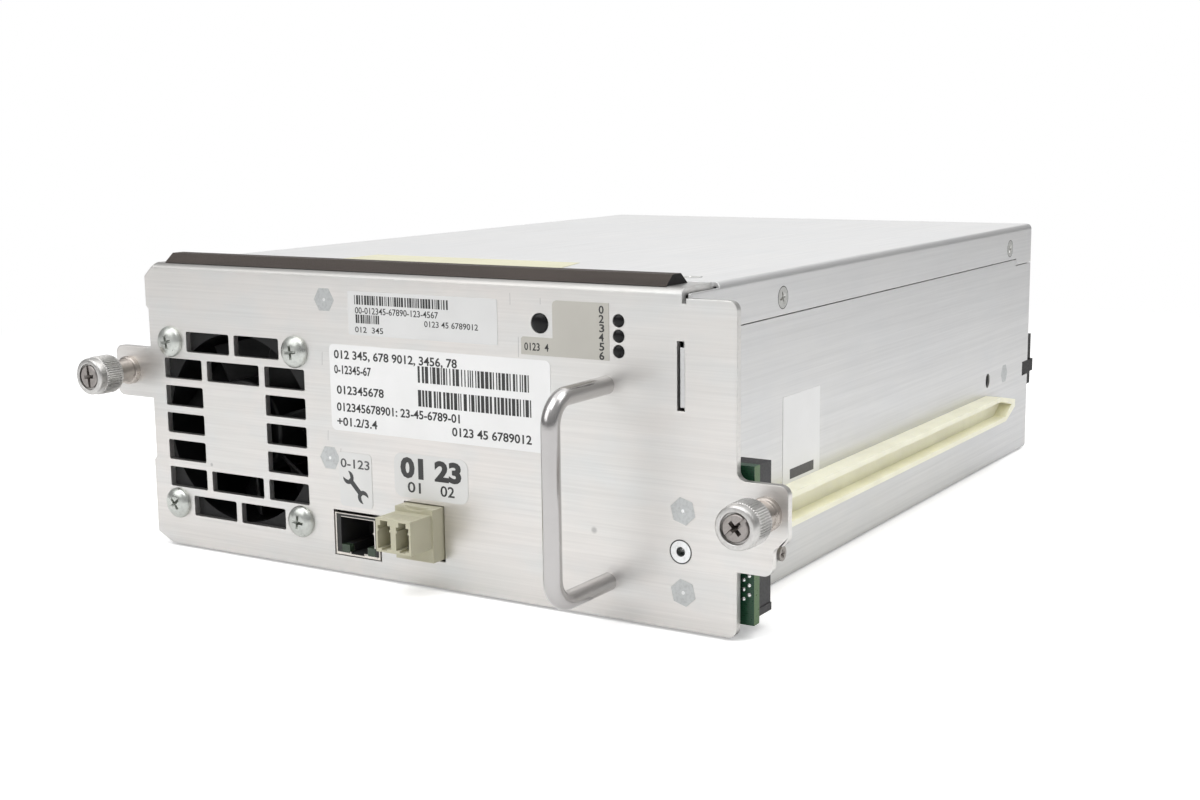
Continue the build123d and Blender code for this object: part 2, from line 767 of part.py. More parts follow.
thumbs = {"left": left_thumb, "right": right_thumb}
for side_name, (thumb_x, thumb_z) in thumbs.items():
    knob_face = front - knob_out
    with BuildPart() as thumb_knob:
        with BuildSketch(facing_at(thumb_x, knob_face, thumb_z)):
            Circle(knob_radius)
        extrude(amount=-knob_length)
        chamfer(thumb_knob.edges(), length=edge_soft)
        with BuildSketch(facing_at(thumb_x, knob_face, thumb_z)):
            Circle(recess_radius)
        extrude(amount=-head_recess, mode=Mode.SUBTRACT)
        with BuildSketch(facing_at(thumb_x, knob_face + head_recess + knob_web, thumb_z)):
            Circle(knob_skirt)
        extrude(amount=-knob_length, mode=Mode.SUBTRACT)
        with BuildSketch(facing_at(thumb_x, knob_face, thumb_z)):
            Circle(screw_radius)
        extrude(amount=-knob_length, mode=Mode.SUBTRACT)
    thumb_knob.part.label = f"{side_name}_thumb_knob"
    export_step(thumb_knob.part, f"parts/{side_name}_thumb_knob.step")

    seat = knob_face + head_recess
    with BuildPart() as thumb_screw:
        with BuildSketch(facing_at(thumb_x, seat, thumb_z)):
            Circle(head_radius)
        extrude(amount=head_height)
        with BuildSketch(facing_at(thumb_x, seat, thumb_z)):
            Circle(screw_radius)
        extrude(amount=seat - front - screw_point)
        chamfer(thumb_screw.edges().sort_by(Axis.Y)[-1], length=edge_soft)
        with BuildSketch(facing_at(thumb_x, seat - head_height, thumb_z)):
            Rectangle(cross_length, cross_width)
            Rectangle(cross_width, cross_length)
        extrude(amount=-cross_depth, mode=Mode.SUBTRACT)
    thumb_screw.part.label = f"{side_name}_thumb_screw"
    export_step(thumb_screw.part, f"parts/{side_name}_thumb_screw.step")

    spring_seat = seat + knob_web + slide_gap
    thumb_spring = Location((thumb_x, spring_seat, thumb_z), (-90, 0, 0)) * coil(
        thumb_spring_radius, thumb_spring_length, thumb_spring_turns
    )
    thumb_spring.label = f"{side_name}_thumb_spring"
    export_step(thumb_spring, f"parts/{side_name}_thumb_spring.step")

# Network jack: shield, moulded insert, contacts and the two lights under the opening
shield_width = jack_cut_width - 2 * jack_gap
shield_height = jack_cut_height - 2 * jack_gap
shield_reach = 0.6
shield_end = 15.8
shield_skin = 0.4
jack_open_width = 12.5
jack_open_height = 10.6
jack_open_x = jack_x + 0.3
jack_open_z = jack_z - 0.3
light_band = 2.4
light_side = 3.0
light_depth = 2.0
insert_gap = 0.1
plug_depth = 12.5
contact_count = 8
contact_pitch = 1.02
contact_width = 0.5

with BuildPart() as jack_shield:
    with BuildSketch(facing_at(jack_x, front - shield_reach, jack_z)):
        Rectangle(shield_width, shield_height)
    extrude(amount=-shield_end - shield_reach)
    with BuildSketch(facing_at(jack_x, front - shield_reach + shield_skin, jack_z)):
        Rectangle(shield_width - 2 * shield_skin, shield_height - 2 * shield_skin)
    extrude(amount=-shield_end - shield_reach, mode=Mode.SUBTRACT)
    with BuildSketch(facing_at(jack_open_x, front - shield_reach, jack_open_z)):
        Rectangle(jack_open_width, jack_open_height)
    extrude(amount=-shield_skin, mode=Mode.SUBTRACT)
jack_shield.part.label = "jack_shield"
export_step(jack_shield.part, "parts/jack_shield.step")

insert_face = front - shield_reach + shield_skin + insert_gap
insert_width = shield_width - 2 * shield_skin - 2 * insert_gap
insert_height = shield_height - 2 * shield_skin - 2 * insert_gap
plug_low = jack_open_z - jack_open_height / 2 + light_band
plug_high = jack_open_z + jack_open_height / 2
with BuildPart() as jack_insert:
    with BuildSketch(facing_at(jack_x, insert_face, jack_z)):
        Rectangle(insert_width, insert_height)
    extrude(amount=insert_face - front - shield_end + insert_gap)
    with BuildSketch(facing(insert_face)):
        with Locations((jack_open_x, (plug_low + plug_high) / 2)):
            Rectangle(jack_open_width, plug_high - plug_low)
        with Locations((jack_open_x, plug_low - light_band / 2)):
            Rectangle(jack_open_width - 2 * light_side, light_band)
    extrude(amount=-plug_depth, mode=Mode.SUBTRACT)
    with BuildSketch(facing(insert_face)):
        for side in (-1, 1):
            light_x = jack_open_x + side * (jack_open_width - light_side) / 2
            with Locations((light_x, plug_low - light_band / 2)):
                Rectangle(light_side, light_band)
    extrude(amount=-light_depth, mode=Mode.SUBTRACT)
jack_insert.part.label = "jack_insert"
export_step(jack_insert.part, "parts/jack_insert.step")

with BuildPart() as jack_lights:
    with BuildSketch(facing(insert_face)):
        for side in (-1, 1):
            light_x = jack_open_x + side * (jack_open_width - light_side) / 2
            with Locations((light_x, plug_low - light_band / 2)):
                Rectangle(light_side - insert_gap, light_band - insert_gap)
    extrude(amount=-light_depth)
jack_lights.part.label = "jack_lights"
export_step(jack_lights.part, "parts/jack_lights.step")

# Spring contacts sloping down from the roof of the opening towards its inner end
contact_slope = 3.2
contact_run = 8.0
contact_start = 3.0
with BuildPart() as jack_contacts:
    for number in range(contact_count):
        contact_x = jack_open_x + (number - (contact_count - 1) / 2) * contact_pitch
        with BuildSketch(Plane.YZ.offset(contact_x - contact_width / 2)):
            with BuildLine():
                Polyline(
                    (insert_face + contact_start, plug_high),
                    (insert_face + contact_start + contact_run, plug_high - contact_slope),
                    (insert_face + contact_start + contact_run, plug_high - contact_slope - contact_width),
                    (insert_face + contact_start - contact_width, plug_high),
                    close=True,
                )
            make_face()
        extrude(amount=contact_width)
jack_contacts.part.label = "jack_contacts"
export_step(jack_contacts.part, "parts/jack_contacts.step")

# Optical adapter: body with two keyhole ports, flange block through the panel
port_pitch = 6.3
port_width = 4.8
port_low = 13.5
port_square = 5.8
port_key_width = 2.6
port_high = 21.8
port_depth = 12.0
plateau_width = 9.2
plateau_length = 6.4
plateau_height = 0.5
plateau_inset = 1.2
plateau_notch = 0.7
plateau_notch_length = 4.5
adapter_end = 15.7
sleeve_radius = 1.6
sleeve_bore = 0.65
sleeve_length = 7.0
scoop_depth = 1.1
gusset_run = 5.5
gusset_rise = 6.0
dimple_radius = 0.8
flange_middle = (adapter_flange_low + adapter_flange_high) / 2
body_middle = (adapter_low + adapter_high) / 2
sleeve_z = port_low + port_square / 2
port_places = [adapter_x - port_pitch / 2, adapter_x + port_pitch / 2]
adapter_face = front - adapter_reach

with BuildPart() as optical_adapter:
    with BuildSketch(facing_at(adapter_x, front - adapter_flange_reach, flange_middle)):
        Rectangle(adapter_flange_width, adapter_flange_high - adapter_flange_low)
    extrude(amount=-adapter_flange_reach - panel_sheet - adapter_flange_tail)
    with BuildSketch(facing_at(adapter_x, adapter_face, body_middle)):
        Rectangle(adapter_width, adapter_high - adapter_low)
    extrude(amount=-adapter_reach - adapter_end)
    # Scooped top edge of the flange block
    with BuildSketch(Plane((adapter_x, front - adapter_flange_reach, adapter_flange_high))):
        SlotOverall(adapter_width - 3.0, 2 * scoop_depth)
    extrude(amount=adapter_high - adapter_flange_high, mode=Mode.SUBTRACT)
    # Raised pad on top with three short grooves
    with BuildSketch(Plane.XY.offset(adapter_high)):
        with Locations((adapter_x, adapter_face + plateau_inset + plateau_length / 2)):
            Rectangle(plateau_width, plateau_length)
    extrude(amount=plateau_height)
    with BuildSketch(Plane.XY.offset(adapter_high + plateau_height)):
        with Locations((adapter_x, adapter_face + plateau_inset + plateau_notch_length / 2)):
            with GridLocations(plateau_width / 3, 1, 3, 1):
                Rectangle(plateau_notch, plateau_notch_length)
    extrude(amount=-plateau_height, mode=Mode.SUBTRACT)
    # Gusset on the lower right side, flush with the flange block
    gusset_foot = front - adapter_flange_reach
    with BuildSketch(Plane.YZ.offset(adapter_x + adapter_width / 2)):
        with BuildLine():
            Polyline(
                (gusset_foot, adapter_low),
                (gusset_foot - gusset_run, adapter_low),
                (gusset_foot, adapter_low + gusset_rise),
                close=True,
            )
        make_face()
        with Locations((gusset_foot - 2 * dimple_radius, adapter_low + 2 * dimple_radius)):
            Circle(dimple_radius, mode=Mode.SUBTRACT)
    extrude(amount=(adapter_flange_width - adapter_width) / 2)
    # Ports
    with BuildSketch(facing(adapter_face)):
        for port_x in port_places:
            with Locations((port_x, port_low + port_square / 2)):
                Rectangle(port_width, port_square)
            with Locations((port_x, (port_low + port_square + port_high) / 2)):
                Rectangle(port_key_width, port_high - port_low - port_square)
    extrude(amount=-port_depth, mode=Mode.SUBTRACT)
optical_adapter.part.label = "optical_adapter"
export_step(optical_adapter.part, "parts/optical_adapter.step")

with BuildPart() as adapter_sleeves:
    with BuildSketch(facing(adapter_face + port_depth)):
        with Locations(*[(port_x, sleeve_z) for port_x in port_places]):
            Circle(sleeve_radius)
            Circle(sleeve_bore, mode=Mode.SUBTRACT)
    extrude(amount=sleeve_length)
adapter_sleeves.part.label = "adapter_sleeves"
export_step(adapter_sleeves.part, "parts/adapter_sleeves.step")

# Interface board on its standoffs
board_face = front + inner_board_depth
board_back = board_face + inner_board_thickness
with BuildPart() as interface_board:
    with BuildSketch(facing(board_face)):
        board_x = (inner_board_left + inner_board_right) / 2
        with Locations((board_x, (inner_board_low + inner_board_high) / 2)):
            Rectangle(inner_board_right - inner_board_left, inner_board_high - inner_board_low)
        with Locations(*standoff_places):
            Circle(screw_shank + slide_gap, mode=Mode.SUBTRACT)
    extrude(amount=-inner_board_thickness)
interface_board.part.label = "interface_board"
export_step(interface_board.part, "parts/interface_board.step")

standoff_flats = 5.0
standoff_tap_depth = 8.0
with BuildPart() as board_standoffs:
    with BuildSketch(facing(front)):
        with Locations(*standoff_places):
            RegularPolygon(stud_across_flats / 2, 6, major_radius=False)
    extrude(amount=-stud_head)
    with BuildSketch(facing(front + stud_head)):
        with Locations(*standoff_places):
            Circle(standoff_shank)
    extrude(amount=stud_head - panel_sheet)
    with BuildSketch(facing(panel_back)):
        with Locations(*standoff_places):
            RegularPolygon(standoff_flats / 2, 6, major_radius=False)
    extrude(amount=panel_sheet - inner_board_depth)
    with BuildSketch(facing(board_face)):
        with Locations(*standoff_places):
            Circle(screw_shank)
    extrude(amount=standoff_tap_depth, mode=Mode.SUBTRACT)
board_standoffs.part.label = "board_standoffs"
export_step(board_standoffs.part, "parts/board_standoffs.step")

# Light pipes from the panel back to the interface board
pipe_gap = 0.15
with BuildPart() as light_pipes:
    with BuildSketch(facing(front)):
        with Locations((port_light_x, port_light_z)):
            Circle(port_light_hole - pipe_gap)
        with Locations(*status_places):
            Circle(status_hole - pipe_gap)
    extrude(amount=sheet_gap - inner_board_depth)
light_pipes.part.label = "light_pipes"
export_step(light_pipes.part, "parts/light_pipes.step")

# Connector board at the right edge, its blind-mate connector pointing to the far end
connector_board_face = front + board_depth
connector_base = connector_board_face + board_thickness
board_middle = (board_low + board_high) / 2
with BuildPart() as connector_board:
    with BuildSketch(facing(connector_board_face)):
        with Locations(((board_left + board_right) / 2, board_middle)):
            Rectangle(board_right - board_left, board_high - board_low)
        with Locations(*board_studs):
            Circle(stud_shank + pipe_gap, mode=Mode.SUBTRACT)
        with Locations((bush_x, board_stud_z)):
            Circle(stud_shank, mode=Mode.SUBTRACT)
    extrude(amount=-board_thickness)
connector_board.part.label = "connector_board"
export_step(connector_board.part, "parts/connector_board.step")

connector_x = connector_right - connector_width / 2
connector_height = board_high - board_low - 2 * connector_margin
connector_foot = 2.0
connector_waist = 0.6
connector_slot = 5.2
connector_slot_depth = 7.5
pin_columns = 14
pin_pitch = 2.4
pin_rows = 2.2
pin_size = 0.7
pin_length = 3.2
stud_tail = 4.0
with BuildPart() as blind_mate_connector:
    with BuildSketch(facing_at(connector_x, connector_base, board_middle)):
        Rectangle(connector_width - connector_waist, connector_height)
        with Locations((0, connector_foot / 2 - connector_height / 2)):
            Rectangle(connector_width, connector_foot)
    extrude(amount=-connector_length)
    with BuildSketch(facing_at(connector_x, connector_base + connector_length, board_middle)):
        Rectangle(connector_slot, connector_height - 2 * connector_foot)
    extrude(amount=connector_slot_depth, mode=Mode.SUBTRACT)
blind_mate_connector.part.label = "blind_mate_connector"
export_step(blind_mate_connector.part, "parts/blind_mate_connector.step")

pin_foot = connector_base + connector_length - connector_slot_depth
with BuildPart() as connector_pins:
    with BuildSketch(facing_at(connector_x, pin_foot, board_middle)):
        with GridLocations(pin_rows, pin_pitch, 2, pin_columns):
            Rectangle(pin_size, pin_size)
    extrude(amount=-pin_length)
connector_pins.part.label = "connector_pins"
export_step(connector_pins.part, "parts/connector_pins.step")

with BuildPart() as connector_studs:
    with BuildSketch(facing(front)):
        with Locations(*board_studs):
            RegularPolygon(stud_across_flats / 2, 6, major_radius=False, rotation=30)
    extrude(amount=-stud_head)
    with BuildSketch(facing(panel_back)):
        with Locations(*board_studs):
            Circle(stud_shank + 1.0)
    extrude(amount=panel_sheet - board_depth)
    with BuildSketch(facing(front)):
        with Locations(*board_studs):
            Circle(stud_shank)
    extrude(amount=-board_depth - board_thickness - stud_tail)
connector_studs.part.label = "connector_studs"
export_step(connector_studs.part, "parts/connector_studs.step")

nut_flats = 5.5
nut_height = 2.4
with BuildPart() as connector_nuts:
    with BuildSketch(facing(connector_base)):
        with Locations(*board_studs):
            RegularPolygon(nut_flats / 2, 6, major_radius=False)
            Circle(stud_shank, mode=Mode.SUBTRACT)
    extrude(amount=-nut_height)
connector_nuts.part.label = "connector_nuts"
export_step(connector_nuts.part, "parts/connector_nuts.step")

with BuildPart() as threaded_bush:
    with BuildSketch(facing_at(bush_x, front, board_stud_z)):
        Circle(bush_radius)
        Circle(bush_bore, mode=Mode.SUBTRACT)
    extrude(amount=-board_depth)
threaded_bush.part.label = "threaded_bush"
export_step(threaded_bush.part, "parts/threaded_bush.step")

# Guide rails: grooved bars pegged into both walls
rail_tip_low = 21.9
rail_tip_high = 24.6
rail_upper_run = 15.8
rail_groove_stop = 4.0
peg_length = 2.2

with BuildPart() as right_guide_rail:
    with BuildSketch(Plane.YZ.offset(half_width)):
        with BuildLine():
            Polyline(
                (front + rail_start, rail_low),
                (front + rail_end - rail_nose, rail_low),
                (front + rail_end, rail_tip_low),
                (front + rail_end, rail_tip_high),
                (front + rail_end - rail_upper_run, rail_high),
                (front + rail_start, rail_high),
                close=True,
            )
        make_face()
    extrude(amount=rail_height)
    with BuildSketch(Plane.YZ.offset(half_width + rail_floor)):
        with BuildLine():
            groove_low = rail_low + rail_wall
            groove_high = rail_high - rail_wall
            Polyline(
                (front + rail_start, groove_low),
                (front + rail_end - rail_nose, groove_low),
                (front + rail_end - rail_groove_stop, rail_middle + 0.5),
                (front + rail_end - rail_upper_run, groove_high),
                (front + rail_start, groove_high),
                close=True,
            )
        make_face()
    extrude(amount=rail_height, mode=Mode.SUBTRACT)
    with BuildSketch(Plane.YZ.offset(half_width)):
        with Locations(*[(front + depth, rail_middle) for depth in rail_peg_places]):
            Circle(rail_peg)
    extrude(amount=-peg_length)
right_guide_rail.part.label = "right_guide_rail"
export_step(right_guide_rail.part, "parts/right_guide_rail.step")

left_guide_rail = mirror(right_guide_rail.part, about=Plane.YZ)
left_guide_rail.label = "left_guide_rail"
export_step(left_guide_rail, "parts/left_guide_rail.step")

# Hex clinch post and pan-head screw of the right wall
post_radius = 2.6
post_length = 9.0
side_head = 2.15
side_head_height = 0.9
with BuildPart() as wall_post:
    with BuildSketch(Plane.YZ.offset(half_width)):
        with Locations((front + wall_stud_depth, wall_stud_z)):
            RegularPolygon(stud_across_flats / 2, 6, major_radius=False)
    extrude(amount=-sheet)
    with BuildSketch(Plane.YZ.offset(wall_inner)):
        with Locations((front + wall_stud_depth, wall_stud_z)):
            Circle(post_radius)
            Circle(screw_shank, mode=Mode.SUBTRACT)
    extrude(amount=-post_length)
wall_post.part.label = "wall_post"
export_step(wall_post.part, "parts/wall_post.step")

with BuildPart() as side_screw:
    with BuildSketch(Plane.YZ.offset(half_width)):
        with Locations((front + side_screw_depth, side_screw_z)):
            Circle(side_head)
    extrude(amount=side_head_height)
    with BuildSketch(Plane.YZ.offset(half_width)):
        with Locations((front + side_screw_depth, side_screw_z)):
            Circle(screw_shank)
    extrude(amount=-screw_length)
side_screw.part.label = "side_screw"
export_step(side_screw.part, "parts/side_screw.step")

# Loader bezel: cross bar and block behind the end plate, collar through its window
bar_half_width = wall_inner - slide_gap
collar_half_width = window_half_width - bezel_gap
collar_low = window_low + bezel_gap
collar_high = window_high - bezel_gap
lip_low = 23.8
lip_thickness = 1.5
ceiling = 47.6
barrel_pocket_high = 49.4
barrel_pocket_depth = 5.2
funnel = 1.6
funnel_depth = 0.9
finger_length = 6.0
finger_inset = 0.4
finger_thickness = 1.7
finger_out = half_width - finger_inset
finger_in = finger_out - finger_thickness
door_axis_depth = 4.2
door_axis_z = 46.9
door_barrel = 2.0
door_pin_radius = 1.0
door_running_gap = 0.05
door_pin_reach = 3.0
bezel_face = back + bezel_reach
bezel_foot = back - end_plate_inset

with BuildPart() as loader_bezel:
    with BuildSketch(facing(bezel_face)):
        with Locations((0, (bezel_bar_low + bezel_bar_high) / 2)):
            Rectangle(2 * bar_half_width, bezel_bar_high - bezel_bar_low)
        with Locations((0, (bezel_block_low + bezel_block_high) / 2)):
            RectangleRounded(bezel_block_width, bezel_block_high - bezel_block_low, bend_radius)
    extrude(amount=bezel_face - bezel_foot)
    with BuildSketch(facing(bezel_foot)):
        with Locations((0, (collar_low + collar_high) / 2)):
            Rectangle(2 * collar_half_width, collar_high - collar_low)
    extrude(amount=bezel_inner)
    # Mouth: opening in the outer lip, then the taller throat behind it
    with BuildSketch(facing(bezel_face)):
        with Locations((0, (lip_low + mouth_high) / 2)):
            Rectangle(mouth_width, mouth_high - lip_low)
    extrude(amount=lip_thickness, mode=Mode.SUBTRACT)
    with BuildSketch(facing(bezel_face - lip_thickness)):
        with Locations((0, (mouth_low + ceiling) / 2)):
            Rectangle(mouth_width, ceiling - mouth_low)
    extrude(amount=bezel_reach + bezel_inner, mode=Mode.SUBTRACT)
    with BuildSketch(facing(bezel_face - lip_thickness)):
        with Locations((0, (mouth_low + barrel_pocket_high) / 2)):
            Rectangle(mouth_width, barrel_pocket_high - mouth_low)
    extrude(amount=barrel_pocket_depth, mode=Mode.SUBTRACT)
    # Funnel round the opening
    with BuildSketch(facing(bezel_face)):
        with Locations((0, (lip_low + mouth_high) / 2)):
            Rectangle(mouth_width + 2 * funnel, mouth_high - lip_low + 2 * funnel)
    with BuildSketch(facing(bezel_face - funnel_depth)):
        with Locations((0, (lip_low + mouth_high) / 2)):
            Rectangle(mouth_width, mouth_high - lip_low)
    loft(mode=Mode.SUBTRACT)
    # Snap fingers that lie in the notches of both walls
    with BuildSketch(facing(bezel_face)):
        for side in (-1, 1):
            with Locations((side * (finger_in + finger_out) / 2, (finger_low + finger_high) / 2)):
                Rectangle(finger_out - finger_in, finger_high - finger_low)
    extrude(amount=bezel_reach + finger_length)
    with BuildSketch(Plane.YZ.offset(-mouth_width / 2 - door_pin_reach)):
        with Locations((back + door_axis_depth, door_axis_z)):
            Circle(door_pin_radius + door_running_gap)
    extrude(amount=mouth_width + 2 * door_pin_reach, mode=Mode.SUBTRACT)
loader_bezel.part.label = "loader_bezel"
export_step(loader_bezel.part, "parts/loader_bezel.step")

# Hinged door behind the lip, swinging inwards on its pin
door_half_width = 52.6
door_low = 23.2
door_panel_start = 0.2
door_panel_thickness = 1.6
door_barrel_end = 43.0
with BuildPart() as cartridge_door:
    with BuildSketch(Plane.YZ.offset(-door_half_width)):
        with Locations((back + door_axis_depth, door_axis_z)):
            Circle(door_barrel)
    extrude(amount=door_half_width + door_barrel_end)
    with BuildSketch(Plane.YZ.offset(-door_half_width)):
        panel_y = back + door_axis_depth + door_panel_start + door_panel_thickness / 2
        with Locations((panel_y, (door_low + door_axis_z) / 2)):
            Rectangle(door_panel_thickness, door_axis_z - door_low)
    extrude(amount=2 * door_half_width)
    with BuildSketch(Plane.YZ.offset(door_barrel_end)):
        with Locations((back + door_axis_depth, door_axis_z)):
            Circle(door_barrel + bezel_gap)
    extrude(amount=door_half_width, mode=Mode.SUBTRACT)
    with BuildSketch(Plane.YZ.offset(-door_half_width)):
        with Locations((back + door_axis_depth, door_axis_z)):
            Circle(door_pin_radius + door_running_gap)
    extrude(amount=2 * door_half_width, mode=Mode.SUBTRACT)
cartridge_door.part.label = "cartridge_door"
export_step(cartridge_door.part, "parts/cartridge_door.step")

with BuildPart() as door_pin:
    with BuildSketch(Plane.YZ.offset(-mouth_width / 2 - door_pin_reach + slide_gap)):
        with Locations((back + door_axis_depth, door_axis_z)):
            Circle(door_pin_radius)
    extrude(amount=mouth_width + 2 * door_pin_reach - 2 * slide_gap)
door_pin.part.label = "door_pin"
export_step(door_pin.part, "parts/door_pin.step")

door_spring_length = 8.0
door_spring_radius = 1.6
door_spring_place = (door_barrel_end + bezel_gap, back + door_axis_depth, door_axis_z)
door_spring = Location(door_spring_place, (0, 90, 0)) * coil(
    door_spring_radius, door_spring_length, thumb_spring_turns
)
door_spring.label = "door_spring"
export_step(door_spring, "parts/door_spring.step")

# Channels that carry the drive between the chassis walls
drive_half_width = drive_width / 2
bracket_start = 46.0
bracket_end_gap = 5.4
bracket_end = drive_end - bracket_end_gap
bracket_inner_sheet = 1.5
bracket_inner_top = 30.0
bracket_outer_top = 16.0
bracket_length = bracket_end - bracket_start
with BuildPart() as side_brackets:
    with BuildSketch(facing(front + bracket_start)) as bracket_face:
        for side in (-1, 1):
            with Locations((side * (drive_half_width + wall_inner) / 2, 1.5 * sheet)):
                Rectangle(wall_inner - drive_half_width, sheet)
            inner_x = side * (drive_half_width + bracket_inner_sheet / 2)
            with Locations((inner_x, (sheet + bracket_inner_top) / 2)):
                Rectangle(bracket_inner_sheet, bracket_inner_top - sheet)
            with Locations((side * (wall_inner - sheet / 2), (sheet + bracket_outer_top) / 2)):
                Rectangle(sheet, bracket_outer_top - sheet)
        bracket_corners = corners_at(bracket_face, [(-wall_inner, sheet), (wall_inner, sheet)])
        fillet(bracket_corners, radius=bend_radius - sheet)
    extrude(amount=-bracket_length)
    with BuildSketch(Plane.YZ.offset(wall_inner)):
        with Locations((front + side_screw_depth, side_screw_z)):
            Circle(screw_shank)
    extrude(amount=-screw_length, mode=Mode.SUBTRACT)
side_brackets.part.label = "side_brackets"
export_step(side_brackets.part, "parts/side_brackets.step")

# Drive base: walls round a deck, open towards the mouth, with the posts of the tape path
drive_front_y = front + drive_start
drive_back_y = front + drive_end
drive_length = drive_end - drive_start
drive_middle_y = (drive_front_y + drive_back_y) / 2
drive_low = sheet
roller_places = {
    "entry_roller": (-52.0, 127.0),
    "front_head_roller": (-61.0, 112.0),
    "rear_head_roller": (-61.0, 88.0),
    "reel_roller": (-47.0, 78.0),
}
roller_spots = [(x, front + depth) for x, depth in roller_places.values()]
roller_low = 26.3
roller_high = 42.3
roller_radius = 6.0
roller_flange = 7.5
roller_flange_height = 1.6
roller_post = 2.0
roller_shoulder = 3.5
shoulder_gap = 0.3
post_top = 44.0
running_gap = 0.05
arm_depth = 131.0
arm_pivot = (-20.0, front + arm_depth)
arm_post = 3.0
arm_pin = 2.0
arm_seat = 49.7
arm_pin_top = 55.0
supply_depth = 187.0
supply_center = (0.0, front + supply_depth)
reel_depth = 103.0
reel_center = (8.0, front + reel_depth)
hub_shaft = 2.5
hub_shaft_clear = 4.0
drive_board_low = 5.0
drive_board_high = 6.6
boss_radius = 3.2
boss_inset_x = 6.0
boss_inset_y = 9.0
boss_spots_x = drive_half_width - drive_wall - boss_inset_x
boss_spots_y = drive_length / 2 - boss_inset_y
rear_port_width = 60.0
rear_port_height = 14.0
rear_port_z = 48.0

with BuildPart() as drive_base:
    with BuildSketch(Plane.XY.offset(drive_low)):
        with Locations((0, drive_middle_y)):
            Rectangle(drive_width, drive_length)
    extrude(amount=drive_base_top - drive_low)
    with BuildSketch(Plane.XY.offset(deck_high)):
        with Locations((0, drive_middle_y + drive_wall)):
            Rectangle(drive_width - 2 * drive_wall, drive_length)
    extrude(amount=drive_base_top - deck_high, mode=Mode.SUBTRACT)
    with BuildSketch(Plane.XY.offset(drive_low)):
        with Locations((0, drive_middle_y)):
            Rectangle(drive_width - 2 * drive_wall, drive_length - 2 * drive_wall)
    extrude(amount=deck_low - drive_low, mode=Mode.SUBTRACT)
    with BuildSketch(Plane.XY.offset(drive_board_high)):
        with Locations((0, drive_middle_y)):
            with GridLocations(2 * boss_spots_x, 2 * boss_spots_y, 2, 2):
                Circle(boss_radius)
    extrude(amount=deck_low - drive_board_high)
    with BuildSketch(Plane.XY.offset(deck_high)):
        with Locations(*roller_spots):
            Circle(roller_shoulder)
    extrude(amount=roller_low - shoulder_gap - deck_high)
    with BuildSketch(Plane.XY.offset(deck_high)):
        with Locations(*roller_spots):
            Circle(roller_post)
    extrude(amount=post_top - deck_high)
    with BuildSketch(Plane.XY.offset(deck_high)):
        with Locations(arm_pivot):
            Circle(arm_post)
    extrude(amount=arm_seat - shoulder_gap - deck_high)
    with BuildSketch(Plane.XY.offset(deck_high)):
        with Locations(arm_pivot):
            Circle(arm_pin)
    extrude(amount=arm_pin_top - deck_high)
    # Hub opening in the deck, screw holes of the board and the opening of the rear wall
    with BuildSketch(Plane.XY.offset(deck_low)):
        with Locations(supply_center):
            Circle(hub_shaft_clear)
    extrude(amount=deck_high - deck_low, mode=Mode.SUBTRACT)
    with BuildSketch(Plane.XY.offset(drive_board_high)):
        with Locations((0, drive_middle_y)):
            with GridLocations(2 * boss_spots_x, 2 * boss_spots_y, 2, 2):
                Circle(screw_shank)
    extrude(amount=deck_low - drive_board_high, mode=Mode.SUBTRACT)
    with BuildSketch(facing(drive_front_y)):
        with Locations((0, rear_port_z)):
            Rectangle(rear_port_width, rear_port_height)
    extrude(amount=-drive_wall, mode=Mode.SUBTRACT)
drive_base.part.label = "drive_base"
export_step(drive_base.part, "parts/drive_base.step")

cover_wall = 1.0
cover_slot_count = 8
cover_slot_pitch = 12.0
cover_slot_length = 40.0
cover_slot_width = 4.0
with BuildPart() as drive_cover:
    with BuildSketch(Plane.XY.offset(drive_base_top)):
        with Locations((0, drive_middle_y)):
            Rectangle(drive_width, drive_length)
    extrude(amount=drive_top - drive_base_top)
    with BuildSketch(Plane.XY.offset(drive_base_top)):
        with Locations((0, drive_middle_y)):
            Rectangle(drive_width - 2 * cover_wall, drive_length - 2 * cover_wall)
    extrude(amount=drive_top - drive_base_top - cover_wall, mode=Mode.SUBTRACT)
    with BuildSketch(Plane.XY.offset(drive_top - cover_wall)):
        with Locations((0, drive_middle_y + drive_length / 4)):
            with GridLocations(cover_slot_pitch, cover_slot_pitch, cover_slot_count, 1):
                SlotOverall(cover_slot_length, cover_slot_width, rotation=90)
    extrude(amount=cover_wall, mode=Mode.SUBTRACT)
drive_cover.part.label = "drive_cover"
export_step(drive_cover.part, "parts/drive_cover.step")

drive_board_margin = 4.5
with BuildPart() as drive_board:
    with BuildSketch(Plane.XY.offset(drive_board_low)):
        with Locations((0, drive_middle_y)):
            Rectangle(drive_width - 2 * drive_board_margin, drive_length - 2 * drive_board_margin)
            with GridLocations(2 * boss_spots_x, 2 * boss_spots_y, 2, 2):
                Circle(screw_shank + slide_gap, mode=Mode.SUBTRACT)
    extrude(amount=drive_board_high - drive_board_low)
drive_board.part.label = "drive_board"
export_step(drive_board.part, "parts/drive_board.step")

# Pan-head screws, all alike: from behind into the handle and the board standoffs, from below
# into the bosses of the drive board
pan_head = 2.75
pan_head_height = 1.8
pan_length = 8.4
pan_screw_places = [Location((x, panel_back, z), (90, 0, 0)) for x, z in handle_feet]
pan_screw_places += [Location((x, board_back, z), (90, 0, 0)) for x, z in standoff_places]
for i in (-1, 1):
    for k in (-1, 1):
        boss_y = drive_middle_y + k * boss_spots_y
        pan_screw_places.append(Location((i * boss_spots_x, boss_y, drive_board_low)))

